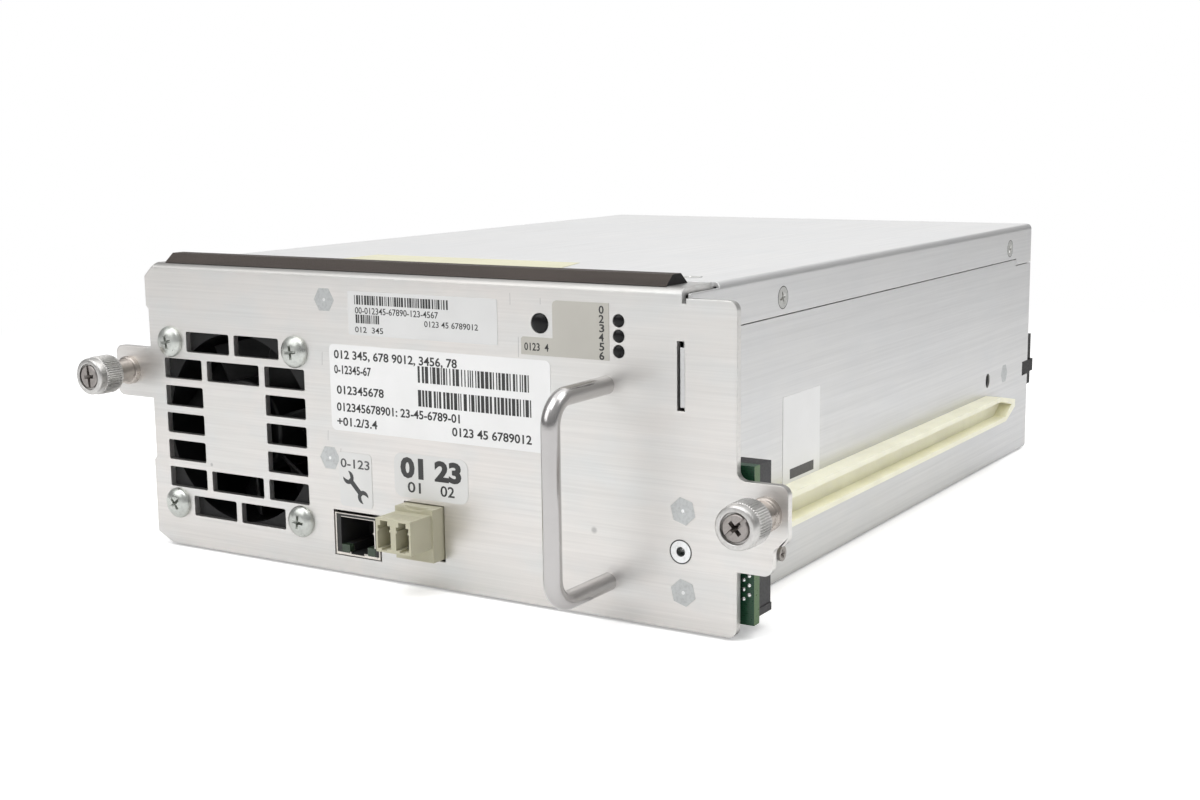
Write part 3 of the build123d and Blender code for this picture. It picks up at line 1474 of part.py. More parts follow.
with BuildPart() as pan_head_screws:
    with Locations(*pan_screw_places):
        Cylinder(screw_shank, pan_length, align=(Align.CENTER, Align.CENTER, Align.MIN))
        Cylinder(pan_head, pan_head_height, align=(Align.CENTER, Align.CENTER, Align.MAX))
pan_head_screws.part.label = "pan_head_screws"
export_step(pan_head_screws.part, "parts/pan_head_screws.step")

# Supply side: motor under the deck, hub that turns the cartridge's reel
supply_motor_radius = 23.0
supply_motor_low = 8.3
supply_hub_radius = 17.0
supply_hub_low = 17.9
supply_hub_high = 20.4
hub_shaft_low = 9.5
hub_teeth = 24
hub_tooth_radius = 14.5
hub_ring_width = 3.0
hub_tooth_depth = 0.7
hub_tooth_gap = 1.0
hub_dish = 1.3
with BuildPart() as supply_motor:
    with BuildSketch(Plane.XY.offset(supply_motor_low)):
        with Locations(supply_center):
            Circle(supply_motor_radius)
    extrude(amount=deck_low - supply_motor_low)
    chamfer(supply_motor.edges().group_by(Axis.Z)[0], length=1.5)
    with BuildSketch(Plane.XY.offset(deck_low)):
        with Locations(supply_center):
            Circle(hub_shaft + running_gap)
    extrude(amount=hub_shaft_low - shoulder_gap - deck_low, mode=Mode.SUBTRACT)
supply_motor.part.label = "supply_motor"
export_step(supply_motor.part, "parts/supply_motor.step")

with BuildPart() as supply_hub:
    with BuildSketch(Plane.XY.offset(supply_hub_low)):
        with Locations(supply_center):
            Circle(supply_hub_radius)
    extrude(amount=supply_hub_high - supply_hub_low)
    with BuildSketch(Plane.XY.offset(supply_hub_high)):
        with Locations(supply_center):
            Circle(hub_tooth_radius - hub_ring_width)
    extrude(amount=-hub_dish, mode=Mode.SUBTRACT)
    with BuildSketch(Plane.XY.offset(supply_hub_high)):
        with Locations(supply_center):
            with PolarLocations(hub_tooth_radius, hub_teeth):
                Rectangle(supply_hub_radius, hub_tooth_gap)
    extrude(amount=-hub_tooth_depth, mode=Mode.SUBTRACT)
    with BuildSketch(Plane.XY.offset(hub_shaft_low)):
        with Locations(supply_center):
            Circle(hub_shaft)
    extrude(amount=supply_hub_low - hub_shaft_low)
supply_hub.part.label = "supply_hub"
export_step(supply_hub.part, "parts/supply_hub.step")

# Take-up side: motor on the deck, flanged reel on its shaft
take_up_motor_radius = 24.0
take_up_motor_top = 25.5
reel_shaft = 3.0
reel_shaft_top = 43.0
reel_low = 26.5
reel_high = 42.1
reel_flange_height = 1.2
reel_radius = 31.0
reel_hub_radius = 22.0
reel_rim = 3.0
reel_web = 8.0
reel_spokes = 6
with BuildPart() as take_up_motor:
    with BuildSketch(Plane.XY.offset(deck_high)):
        with Locations(reel_center):
            Circle(take_up_motor_radius)
    extrude(amount=take_up_motor_top - deck_high)
    chamfer(take_up_motor.edges().group_by(Axis.Z)[-1], length=1.5)
    with BuildSketch(Plane.XY.offset(take_up_motor_top)):
        with Locations(reel_center):
            Circle(reel_shaft)
    extrude(amount=reel_shaft_top - take_up_motor_top)
take_up_motor.part.label = "take_up_motor"
export_step(take_up_motor.part, "parts/take_up_motor.step")

with BuildPart() as take_up_reel:
    with BuildSketch(Plane.XY.offset(reel_low)):
        with Locations(reel_center):
            Circle(reel_radius)
    extrude(amount=reel_flange_height)
    with BuildSketch(Plane.XY.offset(reel_high - reel_flange_height)):
        with Locations(reel_center):
            Circle(reel_radius)
    extrude(amount=reel_flange_height)
    with BuildSketch(Plane.XY.offset(reel_low)):
        with Locations(reel_center):
            Circle(reel_hub_radius)
    extrude(amount=reel_high - reel_low)
    with BuildSketch(Plane.XY.offset(reel_high)):
        with Locations(reel_center):
            Circle(reel_hub_radius - reel_rim)
            Circle(reel_web, mode=Mode.SUBTRACT)
            with PolarLocations((reel_hub_radius - reel_rim + reel_web) / 2, reel_spokes):
                Rectangle(reel_hub_radius - reel_web, reel_rim, mode=Mode.SUBTRACT)
    extrude(amount=reel_low - reel_high + reel_flange_height, mode=Mode.SUBTRACT)
    with BuildSketch(Plane.XY.offset(reel_low)):
        with Locations(reel_center):
            Circle(reel_shaft + running_gap)
    extrude(amount=reel_high - reel_low, mode=Mode.SUBTRACT)
take_up_reel.part.label = "take_up_reel"
export_step(take_up_reel.part, "parts/take_up_reel.step")

# Flanged rollers of the tape path
for roller_name, spot in roller_places.items():
    roller_spot = (spot[0], front + spot[1])
    with BuildPart() as tape_roller:
        with BuildSketch(Plane.XY.offset(roller_low)):
            with Locations(roller_spot):
                Circle(roller_radius)
        extrude(amount=roller_high - roller_low)
        for level in (roller_low, roller_high - roller_flange_height):
            with BuildSketch(Plane.XY.offset(level)):
                with Locations(roller_spot):
                    Circle(roller_flange)
            extrude(amount=roller_flange_height)
        with BuildSketch(Plane.XY.offset(roller_low)):
            with Locations(roller_spot):
                Circle(roller_post + running_gap)
        extrude(amount=roller_high - roller_low, mode=Mode.SUBTRACT)
    tape_roller.part.label = roller_name
    export_step(tape_roller.part, f"parts/{roller_name}.step")

# Tape head on a carriage that climbs a post between the two head rollers
head_post_x = -66.5
head_depth = 100.0
head_post_y = front + head_depth
head_post_radius = 1.5
head_post_top = 52.0
actuator_width = 9.0
actuator_length = 16.0
actuator_top = 21.5
carriage_inner = -69.4
carriage_outer = -63.6
carriage_length = 8.0
carriage_low = 25.0
carriage_high = 45.0
head_outer = -57.6
head_length = 7.0
head_low = 27.0
head_high = 43.0
with BuildPart() as head_actuator:
    with BuildSketch(Plane.XY.offset(deck_high)):
        with Locations((carriage_inner + actuator_width / 2, head_post_y)):
            Rectangle(actuator_width, actuator_length)
    extrude(amount=actuator_top - deck_high)
    with BuildSketch(Plane.XY.offset(actuator_top)):
        with Locations((head_post_x, head_post_y)):
            Circle(head_post_radius)
    extrude(amount=head_post_top - actuator_top)
head_actuator.part.label = "head_actuator"
export_step(head_actuator.part, "parts/head_actuator.step")

with BuildPart() as head_carriage:
    with BuildSketch(Plane.XY.offset(carriage_low)):
        with Locations(((carriage_inner + carriage_outer) / 2, head_post_y)):
            Rectangle(carriage_outer - carriage_inner, carriage_length)
        with Locations((head_post_x, head_post_y)):
            Circle(head_post_radius + running_gap, mode=Mode.SUBTRACT)
    extrude(amount=carriage_high - carriage_low)
head_carriage.part.label = "head_carriage"
export_step(head_carriage.part, "parts/head_carriage.step")

with BuildPart() as tape_head:
    with BuildSketch(Plane.XY.offset(head_low)):
        with Locations(((carriage_outer + head_outer) / 2, head_post_y)):
            Rectangle(head_outer - carriage_outer, head_length)
    extrude(amount=head_high - head_low)
    fillet(tape_head.edges().filter_by(Axis.Z).group_by(Axis.X)[-1], radius=bend_radius)
tape_head.part.label = "tape_head"
export_step(tape_head.part, "parts/tape_head.step")

# Threading arm, resting over the cartridge's leader corner and reaching over the reel
arm_length = 39.6
arm_rest_angle = 131.0
arm_hub = 5.0
arm_hub_high = 54.0
arm_width = 6.0
arm_low = 51.0
arm_high = 53.5
grip_radius = 3.0
grip_low = 47.5
with BuildPart() as threading_arm:
    with BuildSketch(Plane((*arm_pivot, arm_low)).rotated((0, 0, arm_rest_angle))):
        with Locations((arm_length / 2, 0)):
            SlotCenterToCenter(arm_length, arm_width)
    extrude(amount=arm_high - arm_low)
    with BuildSketch(Plane((*arm_pivot, arm_seat))):
        Circle(arm_hub)
    extrude(amount=arm_hub_high - arm_seat)
    with BuildSketch(Plane((*arm_pivot, grip_low)).rotated((0, 0, arm_rest_angle))):
        with Locations((arm_length, 0)):
            Circle(grip_radius)
    extrude(amount=arm_low - grip_low)
    with BuildSketch(Plane((*arm_pivot, arm_seat))):
        Circle(arm_pin + running_gap)
    extrude(amount=arm_hub_high - arm_seat, mode=Mode.SUBTRACT)
threading_arm.part.label = "threading_arm"
export_step(threading_arm.part, "parts/threading_arm.step")

# Cartridge tray between its two guides
tray_outer = 56.1
tray_wall = 1.2
tray_floor_low = 20.9
tray_wall_top = 46.8
tray_start = 150.0
tray_end = 252.0
tray_hub_hole = 20.0
load_travel = 14.0
leader_corner = 30.0
guide_inner = 46.0
guide_outer = 62.0
guide_lip_inner = 56.8
guide_lip_top = 28.0
guide_top = 20.6
guide_start = 136.0
tray_middle = front + (tray_start + tray_end) / 2
with BuildPart() as cartridge_tray:
    with BuildSketch(Plane.XY.offset(tray_floor_low)):
        with Locations((0, tray_middle)):
            Rectangle(2 * tray_outer, tray_end - tray_start)
    extrude(amount=tray_wall_top - tray_floor_low)
    with BuildSketch(Plane.XY.offset(tray_floor_low + tray_wall)):
        with Locations((0, tray_middle)):
            Rectangle(2 * (tray_outer - tray_wall), tray_end - tray_start)
    extrude(amount=tray_wall_top - tray_floor_low, mode=Mode.SUBTRACT)
    with BuildSketch(Plane.XY.offset(tray_floor_low)):
        with Locations((supply_center[0], supply_center[1] + load_travel)):
            Circle(tray_hub_hole)
    extrude(amount=tray_wall, mode=Mode.SUBTRACT)
    # Stop wall across the inner end, short of the leader corner
    stop_width = 2 * tray_outer - leader_corner
    with BuildSketch(Plane.XY.offset(tray_floor_low)):
        with Locations((tray_outer - stop_width / 2, front + tray_start + tray_wall / 2)):
            Rectangle(stop_width, tray_wall)
    extrude(amount=tray_wall_top - tray_floor_low)
cartridge_tray.part.label = "cartridge_tray"
export_step(cartridge_tray.part, "parts/cartridge_tray.step")

with BuildPart() as tray_guides:
    guide_length = tray_end - guide_start
    guide_middle = front + (guide_start + tray_end) / 2
    with BuildSketch(Plane.XY.offset(deck_high)):
        for side in (-1, 1):
            with Locations((side * (guide_inner + guide_outer) / 2, guide_middle)):
                Rectangle(guide_outer - guide_inner, guide_length)
    extrude(amount=guide_top - deck_high)
    with BuildSketch(Plane.XY.offset(deck_high)):
        for side in (-1, 1):
            with Locations((side * (guide_lip_inner + guide_outer) / 2, guide_middle)):
                Rectangle(guide_outer - guide_lip_inner, guide_length)
    extrude(amount=guide_lip_top - deck_high)
tray_guides.part.label = "tray_guides"
export_step(tray_guides.part, "parts/tray_guides.step")
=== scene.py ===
import math
import random

import bmesh
import bpy
from mathutils import Matrix, Vector


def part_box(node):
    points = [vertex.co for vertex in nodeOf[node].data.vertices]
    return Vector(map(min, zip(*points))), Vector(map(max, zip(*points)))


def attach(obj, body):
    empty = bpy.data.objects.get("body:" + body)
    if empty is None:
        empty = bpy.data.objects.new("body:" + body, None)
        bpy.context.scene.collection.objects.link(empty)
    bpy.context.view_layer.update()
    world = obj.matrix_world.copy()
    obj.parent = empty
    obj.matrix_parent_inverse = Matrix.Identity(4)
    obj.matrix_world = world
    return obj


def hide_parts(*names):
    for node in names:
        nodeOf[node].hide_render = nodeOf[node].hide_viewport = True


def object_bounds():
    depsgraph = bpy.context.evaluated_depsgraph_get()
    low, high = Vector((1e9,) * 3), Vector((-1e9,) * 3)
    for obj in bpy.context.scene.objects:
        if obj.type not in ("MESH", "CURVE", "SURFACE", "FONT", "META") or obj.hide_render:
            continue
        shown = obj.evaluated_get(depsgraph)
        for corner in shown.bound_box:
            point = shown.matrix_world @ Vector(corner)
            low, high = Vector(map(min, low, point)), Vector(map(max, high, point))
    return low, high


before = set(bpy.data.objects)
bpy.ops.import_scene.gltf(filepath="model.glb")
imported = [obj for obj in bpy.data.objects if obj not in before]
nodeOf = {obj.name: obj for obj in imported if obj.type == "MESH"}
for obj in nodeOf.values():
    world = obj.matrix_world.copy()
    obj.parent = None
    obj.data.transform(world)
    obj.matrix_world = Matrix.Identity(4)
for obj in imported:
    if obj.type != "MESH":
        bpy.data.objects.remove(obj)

lowStart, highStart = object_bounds()
mm = 0.001

# Planes that the labels and marks lie on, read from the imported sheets
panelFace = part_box("rear_panel")[0].y
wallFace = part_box("chassis_tray")[1].x
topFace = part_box("top_cover")[1].z
print("frame loaded,", len(nodeOf), "nodes")


# ---- shader building blocks ----
# Builds one node tree: each method adds nodes and returns the socket that carries the result
class NodeBuilder:
    def __init__(self, owner):
        owner.use_nodes = True
        self.owner = owner
        self.nodes = owner.node_tree.nodes
        self.links = owner.node_tree.links

    def feed(self, socket, value):
        if isinstance(value, bpy.types.NodeSocket):
            self.links.new(value, socket)
        elif socket.type == "RGBA":
            socket.default_value = (*value, 1.0)
        else:
            socket.default_value = value

    def add(self, kind, output, inputs=None, **settings):
        made = self.nodes.new(kind)
        for key, value in settings.items():
            setattr(made, key, value)
        for key, value in (inputs or {}).items():
            self.feed(made.inputs[key], value)
        return made.outputs[output]

    def coords(self, stretch=(1, 1, 1)):
        source = self.add("ShaderNodeTexCoord", "Object")
        return self.add("ShaderNodeMapping", "Vector", {"Vector": source, "Scale": stretch})

    def turnedCoords(self, vector, turn, stretch=(1, 1, 1)):
        return self.add("ShaderNodeMapping", "Vector", {"Vector": vector, "Rotation": turn, "Scale": stretch})

    def noise(self, vector, scale, detail=3.0, rough=0.55):
        return self.add("ShaderNodeTexNoise", "Fac",
                        {"Vector": vector, "Scale": scale, "Detail": detail, "Roughness": rough})

    def remap(self, value, low, high, toLow, toHigh):
        return self.add("ShaderNodeMapRange", "Result", {"Value": value, "From Min": low, "From Max": high,
                                                         "To Min": toLow, "To Max": toHigh})

    # A noise runs mostly from 0.3 to 0.7: this spreads it between two values
    def spread(self, noise, toLow, toHigh):
        return self.remap(noise, 0.3, 0.7, toLow, toHigh)

    def blend(self, factor, first, second):
        return self.add("ShaderNodeMix", "Result", {"Factor": factor, "A": first, "B": second},
                        data_type="RGBA")

    def total(self, first, second):
        return self.add("ShaderNodeMath", "Value", {0: first, 1: second}, operation="ADD")

    # 1 where the surface faces along the given axis, either way
    def facesAlong(self, axis, low, high):
        normal = self.add("ShaderNodeNewGeometry", "True Normal")
        dot = self.add("ShaderNodeVectorMath", "Value", {0: normal, 1: axis}, operation="DOT_PRODUCT")
        size = self.add("ShaderNodeMath", "Value", {0: dot}, operation="ABSOLUTE")
        return self.remap(size, low, high, 0, 1)

    # Strongest at the given place, fading to 0 at the given distance from it
    def spot(self, vector, place, size):
        gap = self.add("ShaderNodeVectorMath", "Value", {0: vector, 1: place}, operation="DISTANCE")
        return self.remap(gap, 0.4 * size, size, 0.7, 0.0)

    def bump(self, height, depth, strength=1.0, under=None):
        inputs = {"Strength": strength, "Distance": depth, "Height": height}
        if under is not None:
            inputs["Normal"] = under
        return self.add("ShaderNodeBump", "Normal", inputs)

    def softEdge(self, radius):
        return self.add("ShaderNodeBevel", "Normal", {"Radius": radius}, samples=4)


def newFinish(name):
    make = NodeBuilder(bpy.data.materials.new(name))
    return make, make.nodes["Principled BSDF"].inputs


# ---- finishes ----
# Plated sheet: rolling grain along one direction, warm and cool patches, a few handling marks, and painted
# shade darkening the faces that slant up or down at the bends
sheetLooks = {
    "panelSteel": {"color": (0.765, 0.752, 0.73), "warm": (0.80, 0.768, 0.742), "cool": (0.728, 0.738, 0.733),
                   "roughness": (0.36, 0.50), "grain": (26, 500, 1700), "mottle": 22, "scratch": 0.35,
                   "edge": 0.35, "bend": 0.7,
                   "smudges": ((0.0647, -0.1368, 0.0234, 0.0011), (-0.0716, -0.1368, 0.0270, 0.0007))},
    "chassisSteel": {"color": (0.70, 0.70, 0.70), "warm": (0.715, 0.712, 0.705), "cool": (0.685, 0.69, 0.695),
                     "roughness": (0.34, 0.46), "grain": (900, 16, 1300), "mottle": 14, "scratch": 0.2,
                     "edge": 0.25, "bend": 0.0, "smudges": ()},
    "coverSteel": {"color": (0.74, 0.74, 0.74), "warm": (0.755, 0.752, 0.748), "cool": (0.725, 0.73, 0.735),
                   "roughness": (0.36, 0.46), "grain": (1200, 16, 1200), "mottle": 12, "scratch": 0.2,
                   "edge": 0.3, "bend": 0.0, "smudges": ()},
    "innerSteel": {"color": (0.62, 0.62, 0.61), "warm": (0.64, 0.63, 0.61), "cool": (0.56, 0.565, 0.57),
                   "roughness": (0.40, 0.55), "grain": (700, 20, 900), "mottle": 30, "scratch": 0.3,
                   "edge": 0.2, "bend": 0.0, "smudges": ()},
}
# What all sheets share; a scratch shows where a stretched, slanting noise peaks
sheetShared = {"patches": (50, 50, 90), "fineTimes": 14, "streaks": 0.16, "streakTone": 0.6,
               "smudgeColor": (0.40, 0.395, 0.39), "paintedBendShadeColor": (0.30, 0.295, 0.285),
               "scratchTurn": (0.5, 0.9, 0.4), "scratchStretch": (900, 12, 900), "scratchPeak": (0.70, 0.74),
               "relief": 0.00003}


def sheetFinish(name, look):
    make, sockets = newFinish(name)
    shared = sheetShared
    plain = make.coords()
    grain = make.noise(make.coords(look["grain"]), 1.0, 4.0)
    mottle = make.noise(plain, look["mottle"], 4.0, 0.6)
    patches = make.noise(make.coords(shared["patches"]), 1.0, 2.0)
    fine = make.noise(plain, look["mottle"] * shared["fineTimes"], 2.0)
    color = make.blend(make.remap(mottle, 0.38, 0.70, 0, 1), look["color"], look["warm"])
    color = make.blend(make.remap(patches, 0.45, 0.75, 0, 0.8), color, look["cool"])
    streaks = make.spread(grain, 0.0, shared["streaks"])
    color = make.blend(streaks, color, tuple(shared["streakTone"] * c for c in look["color"]))
    for x, y, z, size in look["smudges"]:
        color = make.blend(make.spot(plain, (x, y, z), size), color, shared["smudgeColor"])
    # Painted shade: faces slanting between flat and upright, the bends, are darkened, most of all on the
    # panel
    bend = make.remap(make.facesAlong((0, 0, 1), 0.1, 0.6), 0, 1, 0, look["bend"])
    make.feed(sockets["Base Color"], make.blend(bend, color, shared["paintedBendShadeColor"]))
    sockets["Metallic"].default_value = 0.92
    low, high = look["roughness"]
    rough = make.total(make.spread(grain, low, high - 0.04), make.spread(fine, -0.01, 0.015))
    make.feed(sockets["Roughness"], rough)
    streak = make.noise(make.turnedCoords(plain, shared["scratchTurn"], shared["scratchStretch"]), 1.0, 2.0)
    scratch = make.remap(streak, *shared["scratchPeak"], 0.0, look["scratch"])
    under = make.bump(grain, shared["relief"], 0.5, make.softEdge(look["edge"] * mm))
    make.feed(sockets["Normal"], make.bump(scratch, shared["relief"], 0.4, under))
    return make.owner


# Turned and plated hardware, specks in the tone and worn patches in the shine: colour, roughness from
# and to, and how fine the specks are
hardwareLooks = {
    "knobSteel": ((0.60, 0.59, 0.575), (0.30, 0.42), 900),
    "ferruleSteel": ((0.47, 0.43, 0.395), (0.24, 0.36), 900),
    "screwSteel": ((0.55, 0.55, 0.53), (0.26, 0.42), 1400),
    "thumbScrewSteel": ((0.36, 0.335, 0.32), (0.30, 0.44), 1400),
    "fanScrewSteel": ((0.58, 0.60, 0.57), (0.22, 0.38), 1100),
    "studSteel": ((0.56, 0.575, 0.575), (0.34, 0.50), 1200),
    "bushSteel": ((0.84, 0.85, 0.85), (0.24, 0.34), 1200),
    "springSteel": ((0.55, 0.55, 0.56), (0.25, 0.35), 900),
    "jackNickel": ((0.80, 0.76, 0.70), (0.26, 0.40), 700),
    "contactGold": ((0.90, 0.68, 0.30), (0.18, 0.28), 2000),
    "motorSteel": ((0.60, 0.60, 0.62), (0.28, 0.40), 500),
    "rollerAluminium": ((0.84, 0.84, 0.85), (0.18, 0.28), 800),
    "solderTin": ((0.90, 0.90, 0.90), (0.12, 0.25), 2500),
}
hardwareShared = {"wearTimes": 1 / 6, "dark": 0.82, "relief": 0.00002, "edge": 0.12}


def hardwareFinish(name, look):
    color, rough, fineness = look
    make, sockets = newFinish(name)
    plain = make.coords()
    speck = make.noise(plain, fineness)
    wear = make.noise(plain, fineness * hardwareShared["wearTimes"])
    make.feed(sockets["Roughness"], make.spread(wear, *rough))
    dark = tuple(hardwareShared["dark"] * c for c in color)
    make.feed(sockets["Base Color"], make.blend(make.remap(speck, 0.45, 0.75, 0, 1), color, dark))
    sockets["Metallic"].default_value = 1.0
    edge = make.softEdge(hardwareShared["edge"] * mm)
    make.feed(sockets["Normal"], make.bump(speck, hardwareShared["relief"], 0.5, edge))
    return make.owner


# Moulded plastics, a fine spark-eroded texture and a faint tone drift, the black ones with less shine:
# colour, roughness, how fine the texture is, its bump, and how far light glows into it
plasticLooks = {
    "fanPlastic": ((0.006, 0.006, 0.0065), 0.38, 1600, 0.25, 0.0),
    "jackPlastic": ((0.02, 0.02, 0.02), 0.45, 1800, 0.2, 0.0),
    "adapterPlastic": ((0.47, 0.45, 0.335), 0.45, 1500, 0.25, 0.05),
    "sleeveCeramic": ((0.82, 0.80, 0.74), 0.25, 900, 0.1, 0.0),
    "connectorPlastic": ((0.024, 0.023, 0.025), 0.5, 1500, 0.3, 0.0),
    "railNylon": ((0.88, 0.86, 0.69), 0.42, 700, 0.15, 0.25),
    "bezelPlastic": ((0.004, 0.0035, 0.004), 0.50, 1300, 0.3, 0.0),
    "hubPlastic": ((0.80, 0.80, 0.78), 0.4, 900, 0.15, 0.1),
    "trayPlastic": ((0.05, 0.05, 0.055), 0.5, 1200, 0.3, 0.0),
    "headCeramic": ((0.03, 0.03, 0.035), 0.15, 600, 0.05, 0.0),
    "darkLens": ((0.003, 0.003, 0.0035), 0.22, 400, 0.05, 0.0),
    "jackLens": ((0.035, 0.055, 0.035), 0.2, 400, 0.05, 0.0),
}
plasticShared = {"drift": 60, "pale": (1.12, 0.004), "glowDepth": (0.003, 0.003, 0.002), "glowScale": 0.5,
                 "blackBelow": 0.02, "blackShine": 0.25, "relief": 0.00004, "edge": 0.15}


def plasticFinish(name, look):
    color, rough, fineness, bump, glow = look
    make, sockets = newFinish(name)
    shared = plasticShared
    plain = make.coords()
    texture = make.noise(plain, fineness, 2.0)
    drift = make.noise(plain, shared["drift"])
    times, plus = shared["pale"]
    pale = tuple(min(1.0, times * c + plus) for c in color)
    make.feed(sockets["Base Color"], make.blend(make.spread(drift, 0, 1), color, pale))
    make.feed(sockets["Roughness"], make.spread(texture, rough - 0.05, rough + 0.07))
    sockets["Subsurface Weight"].default_value = glow
    sockets["Subsurface Radius"].default_value = shared["glowDepth"]
    sockets["Subsurface Scale"].default_value = shared["glowScale"]
    if max(color) < shared["blackBelow"]:
        sockets["Specular IOR Level"].default_value = shared["blackShine"]
    edge = make.softEdge(shared["edge"] * mm)
    make.feed(sockets["Normal"], make.bump(texture, shared["relief"], bump, edge))
    return make.owner


# Label stock and inks, paper or film with a faint fibre and sheen: colour, its darker wash, roughness
paperLooks = {
    "whiteLabel": ((0.84, 0.84, 0.84), (0.79, 0.79, 0.785), 0.42),
    "greyLabel": ((0.70, 0.70, 0.695), (0.65, 0.65, 0.645), 0.45),
    "taupeLabel": ((0.50, 0.485, 0.44), (0.46, 0.445, 0.405), 0.40),
    "yellowLabel": ((0.62, 0.60, 0.42), (0.57, 0.55, 0.385), 0.45),
    "signLabel": ((0.72, 0.72, 0.71), (0.66, 0.66, 0.65), 0.40),
    "labelInk": ((0.02, 0.02, 0.02), (0.05, 0.05, 0.05), 0.5),
    "greyInk": ((0.075, 0.075, 0.078), (0.11, 0.11, 0.112), 0.5),
    "spannerInk": ((0.048, 0.050, 0.052), (0.07, 0.072, 0.075), 0.5),
    "markGrey": ((0.42, 0.41, 0.40), (0.50, 0.49, 0.48), 0.45),
}
paperShared = {"fibre": 900, "wash": 45, "relief": 0.00002}


def paperFinish(name, look):
    color, shade, rough = look
    make, sockets = newFinish(name)
    plain = make.coords()
    fibre = make.noise(plain, paperShared["fibre"])
    wash = make.noise(plain, paperShared["wash"])
    make.feed(sockets["Base Color"], make.blend(make.remap(wash, 0.3, 0.75, 0, 1), color, shade))
    make.feed(sockets["Roughness"], make.spread(fibre, rough - 0.05, rough + 0.08))
    make.feed(sockets["Normal"], make.bump(fibre, paperShared["relief"], 0.25))
    return make.owner


# Circuit board: solder mask over copper traces, bare laminate at the sawn edges
boardLook = {"mask": (0.007, 0.042, 0.021), "trace": (0.011, 0.070, 0.030), "edge": (0.052, 0.112, 0.033),
             "edgePale": 1.5, "pitch": 420, "gap": 0.03, "trackTone": (0.6, 0.6, 0.6), "weave": 1500,
             "layers": (60, 3200, 60), "relief": 0.00004}


def boardFinish(name, look):
    make, sockets = newFinish(name)
    plain = make.coords()
    traces = make.add("ShaderNodeTexBrick", "Color",
                      {"Scale": look["pitch"], "Mortar Size": look["gap"], "Color1": (0, 0, 0),
                       "Color2": look["trackTone"], "Mortar": (1, 1, 1),
                       "Vector": make.turnedCoords(plain, (math.pi / 2, 0, 0))})
    weave = make.noise(plain, look["weave"], 2.0)
    face = make.blend(traces, look["mask"], look["trace"])
    layers = make.noise(make.coords(look["layers"]), 1.0, 2.0)
    edge = make.blend(layers, look["edge"], tuple(look["edgePale"] * c for c in look["edge"]))
    make.feed(sockets["Base Color"], make.blend(make.facesAlong((1, 0, 0), 0.85, 0.95), face, edge))
    make.feed(sockets["Roughness"], make.spread(weave, 0.26, 0.42))
    make.feed(sockets["Normal"], make.bump(traces, look["relief"], 0.5))
    return make.owner


# Conductive fabric wrapped over foam, the cut ends show the black foam
gasketLook = {"thread": (0.070, 0.056, 0.048), "shade": (0.038, 0.030, 0.026), "foam": (0.012, 0.011, 0.011),
              "weave": 2600, "waver": 1.5, "cloud": (20, 200, 200), "rough": 0.6, "shine": 0.35,
              "relief": 0.00005}


def gasketFinish(name, look):
    make, sockets = newFinish(name)
    plain = make.coords()
    across = make.add("ShaderNodeTexWave", "Fac", {"Scale": look["weave"], "Distortion": look["waver"],
                                                   "Vector": plain}, bands_direction="X")
    along = make.add("ShaderNodeTexWave", "Fac", {"Scale": look["weave"], "Vector": plain},
                     bands_direction="Y")
    weave = make.total(across, along)
    cloud = make.noise(make.coords(look["cloud"]), 1.0)
    tone = make.total(make.remap(weave, 0, 2, 0, 0.6), make.spread(cloud, 0, 0.5))
    cloth = make.blend(tone, look["shade"], look["thread"])
    make.feed(sockets["Base Color"], make.blend(make.facesAlong((1, 0, 0), 0.45, 0.55), cloth, look["foam"]))
    sockets["Metallic"].default_value = 0.1
    sockets["Roughness"].default_value = look["rough"]
    sockets["Specular IOR Level"].default_value = look["shine"]
    make.feed(sockets["Normal"], make.bump(weave, look["relief"], 0.6))
    return make.owner


# Satin aluminium bar, brushed round the bar
handleLook = {"color": (0.50, 0.487, 0.483), "rough": (0.16, 0.26), "brush": (60, 900, 900), "haze": 90,
              "relief": 0.00002}


def handleFinish(name, look):
    make, sockets = newFinish(name)
    rings = make.noise(make.coords(look["brush"]), 1.0)
    haze = make.noise(make.coords(), look["haze"])
    low, high = look["rough"]
    rough = make.total(make.spread(rings, low, high - 0.04), make.spread(haze, -0.02, 0.06))
    make.feed(sockets["Roughness"], rough)
    sockets["Base Color"].default_value = (*look["color"], 1.0)
    sockets["Metallic"].default_value = 1.0
    make.feed(sockets["Normal"], make.bump(rings, look["relief"], 0.5))
    return make.owner


# Die-cast drive base
castLook = {"color": (0.62, 0.62, 0.63), "dull": (0.50, 0.50, 0.51), "rough": (0.42, 0.60), "grit": 700,
            "flow": 30, "relief": 0.00006, "edge": 0.3}


def castFinish(name, look):
    make, sockets = newFinish(name)
    plain = make.coords()
    grit = make.noise(plain, look["grit"])
    flow = make.noise(plain, look["flow"], 4.0)
    dull = make.remap(flow, 0.35, 0.7, 0, 1)
    make.feed(sockets["Base Color"], make.blend(dull, look["color"], look["dull"]))
    sockets["Metallic"].default_value = 0.9
    make.feed(sockets["Roughness"], make.spread(grit, *look["rough"]))
    make.feed(sockets["Normal"], make.bump(grit, look["relief"], 0.6, make.softEdge(look["edge"] * mm)))
    return make.owner


finishMakers = ((sheetLooks, sheetFinish), (hardwareLooks, hardwareFinish), (plasticLooks, plasticFinish),
                (paperLooks, paperFinish), ({"boardLaminate": boardLook}, boardFinish),
                ({"gasketCloth": gasketLook}, gasketFinish), ({"handleBar": handleLook}, handleFinish),
                ({"driveCast": castLook}, castFinish))
finishes = {name: buildFinish(name, look) for looks, buildFinish in finishMakers
            for name, look in looks.items()}
print("finishes made:", len(finishes))

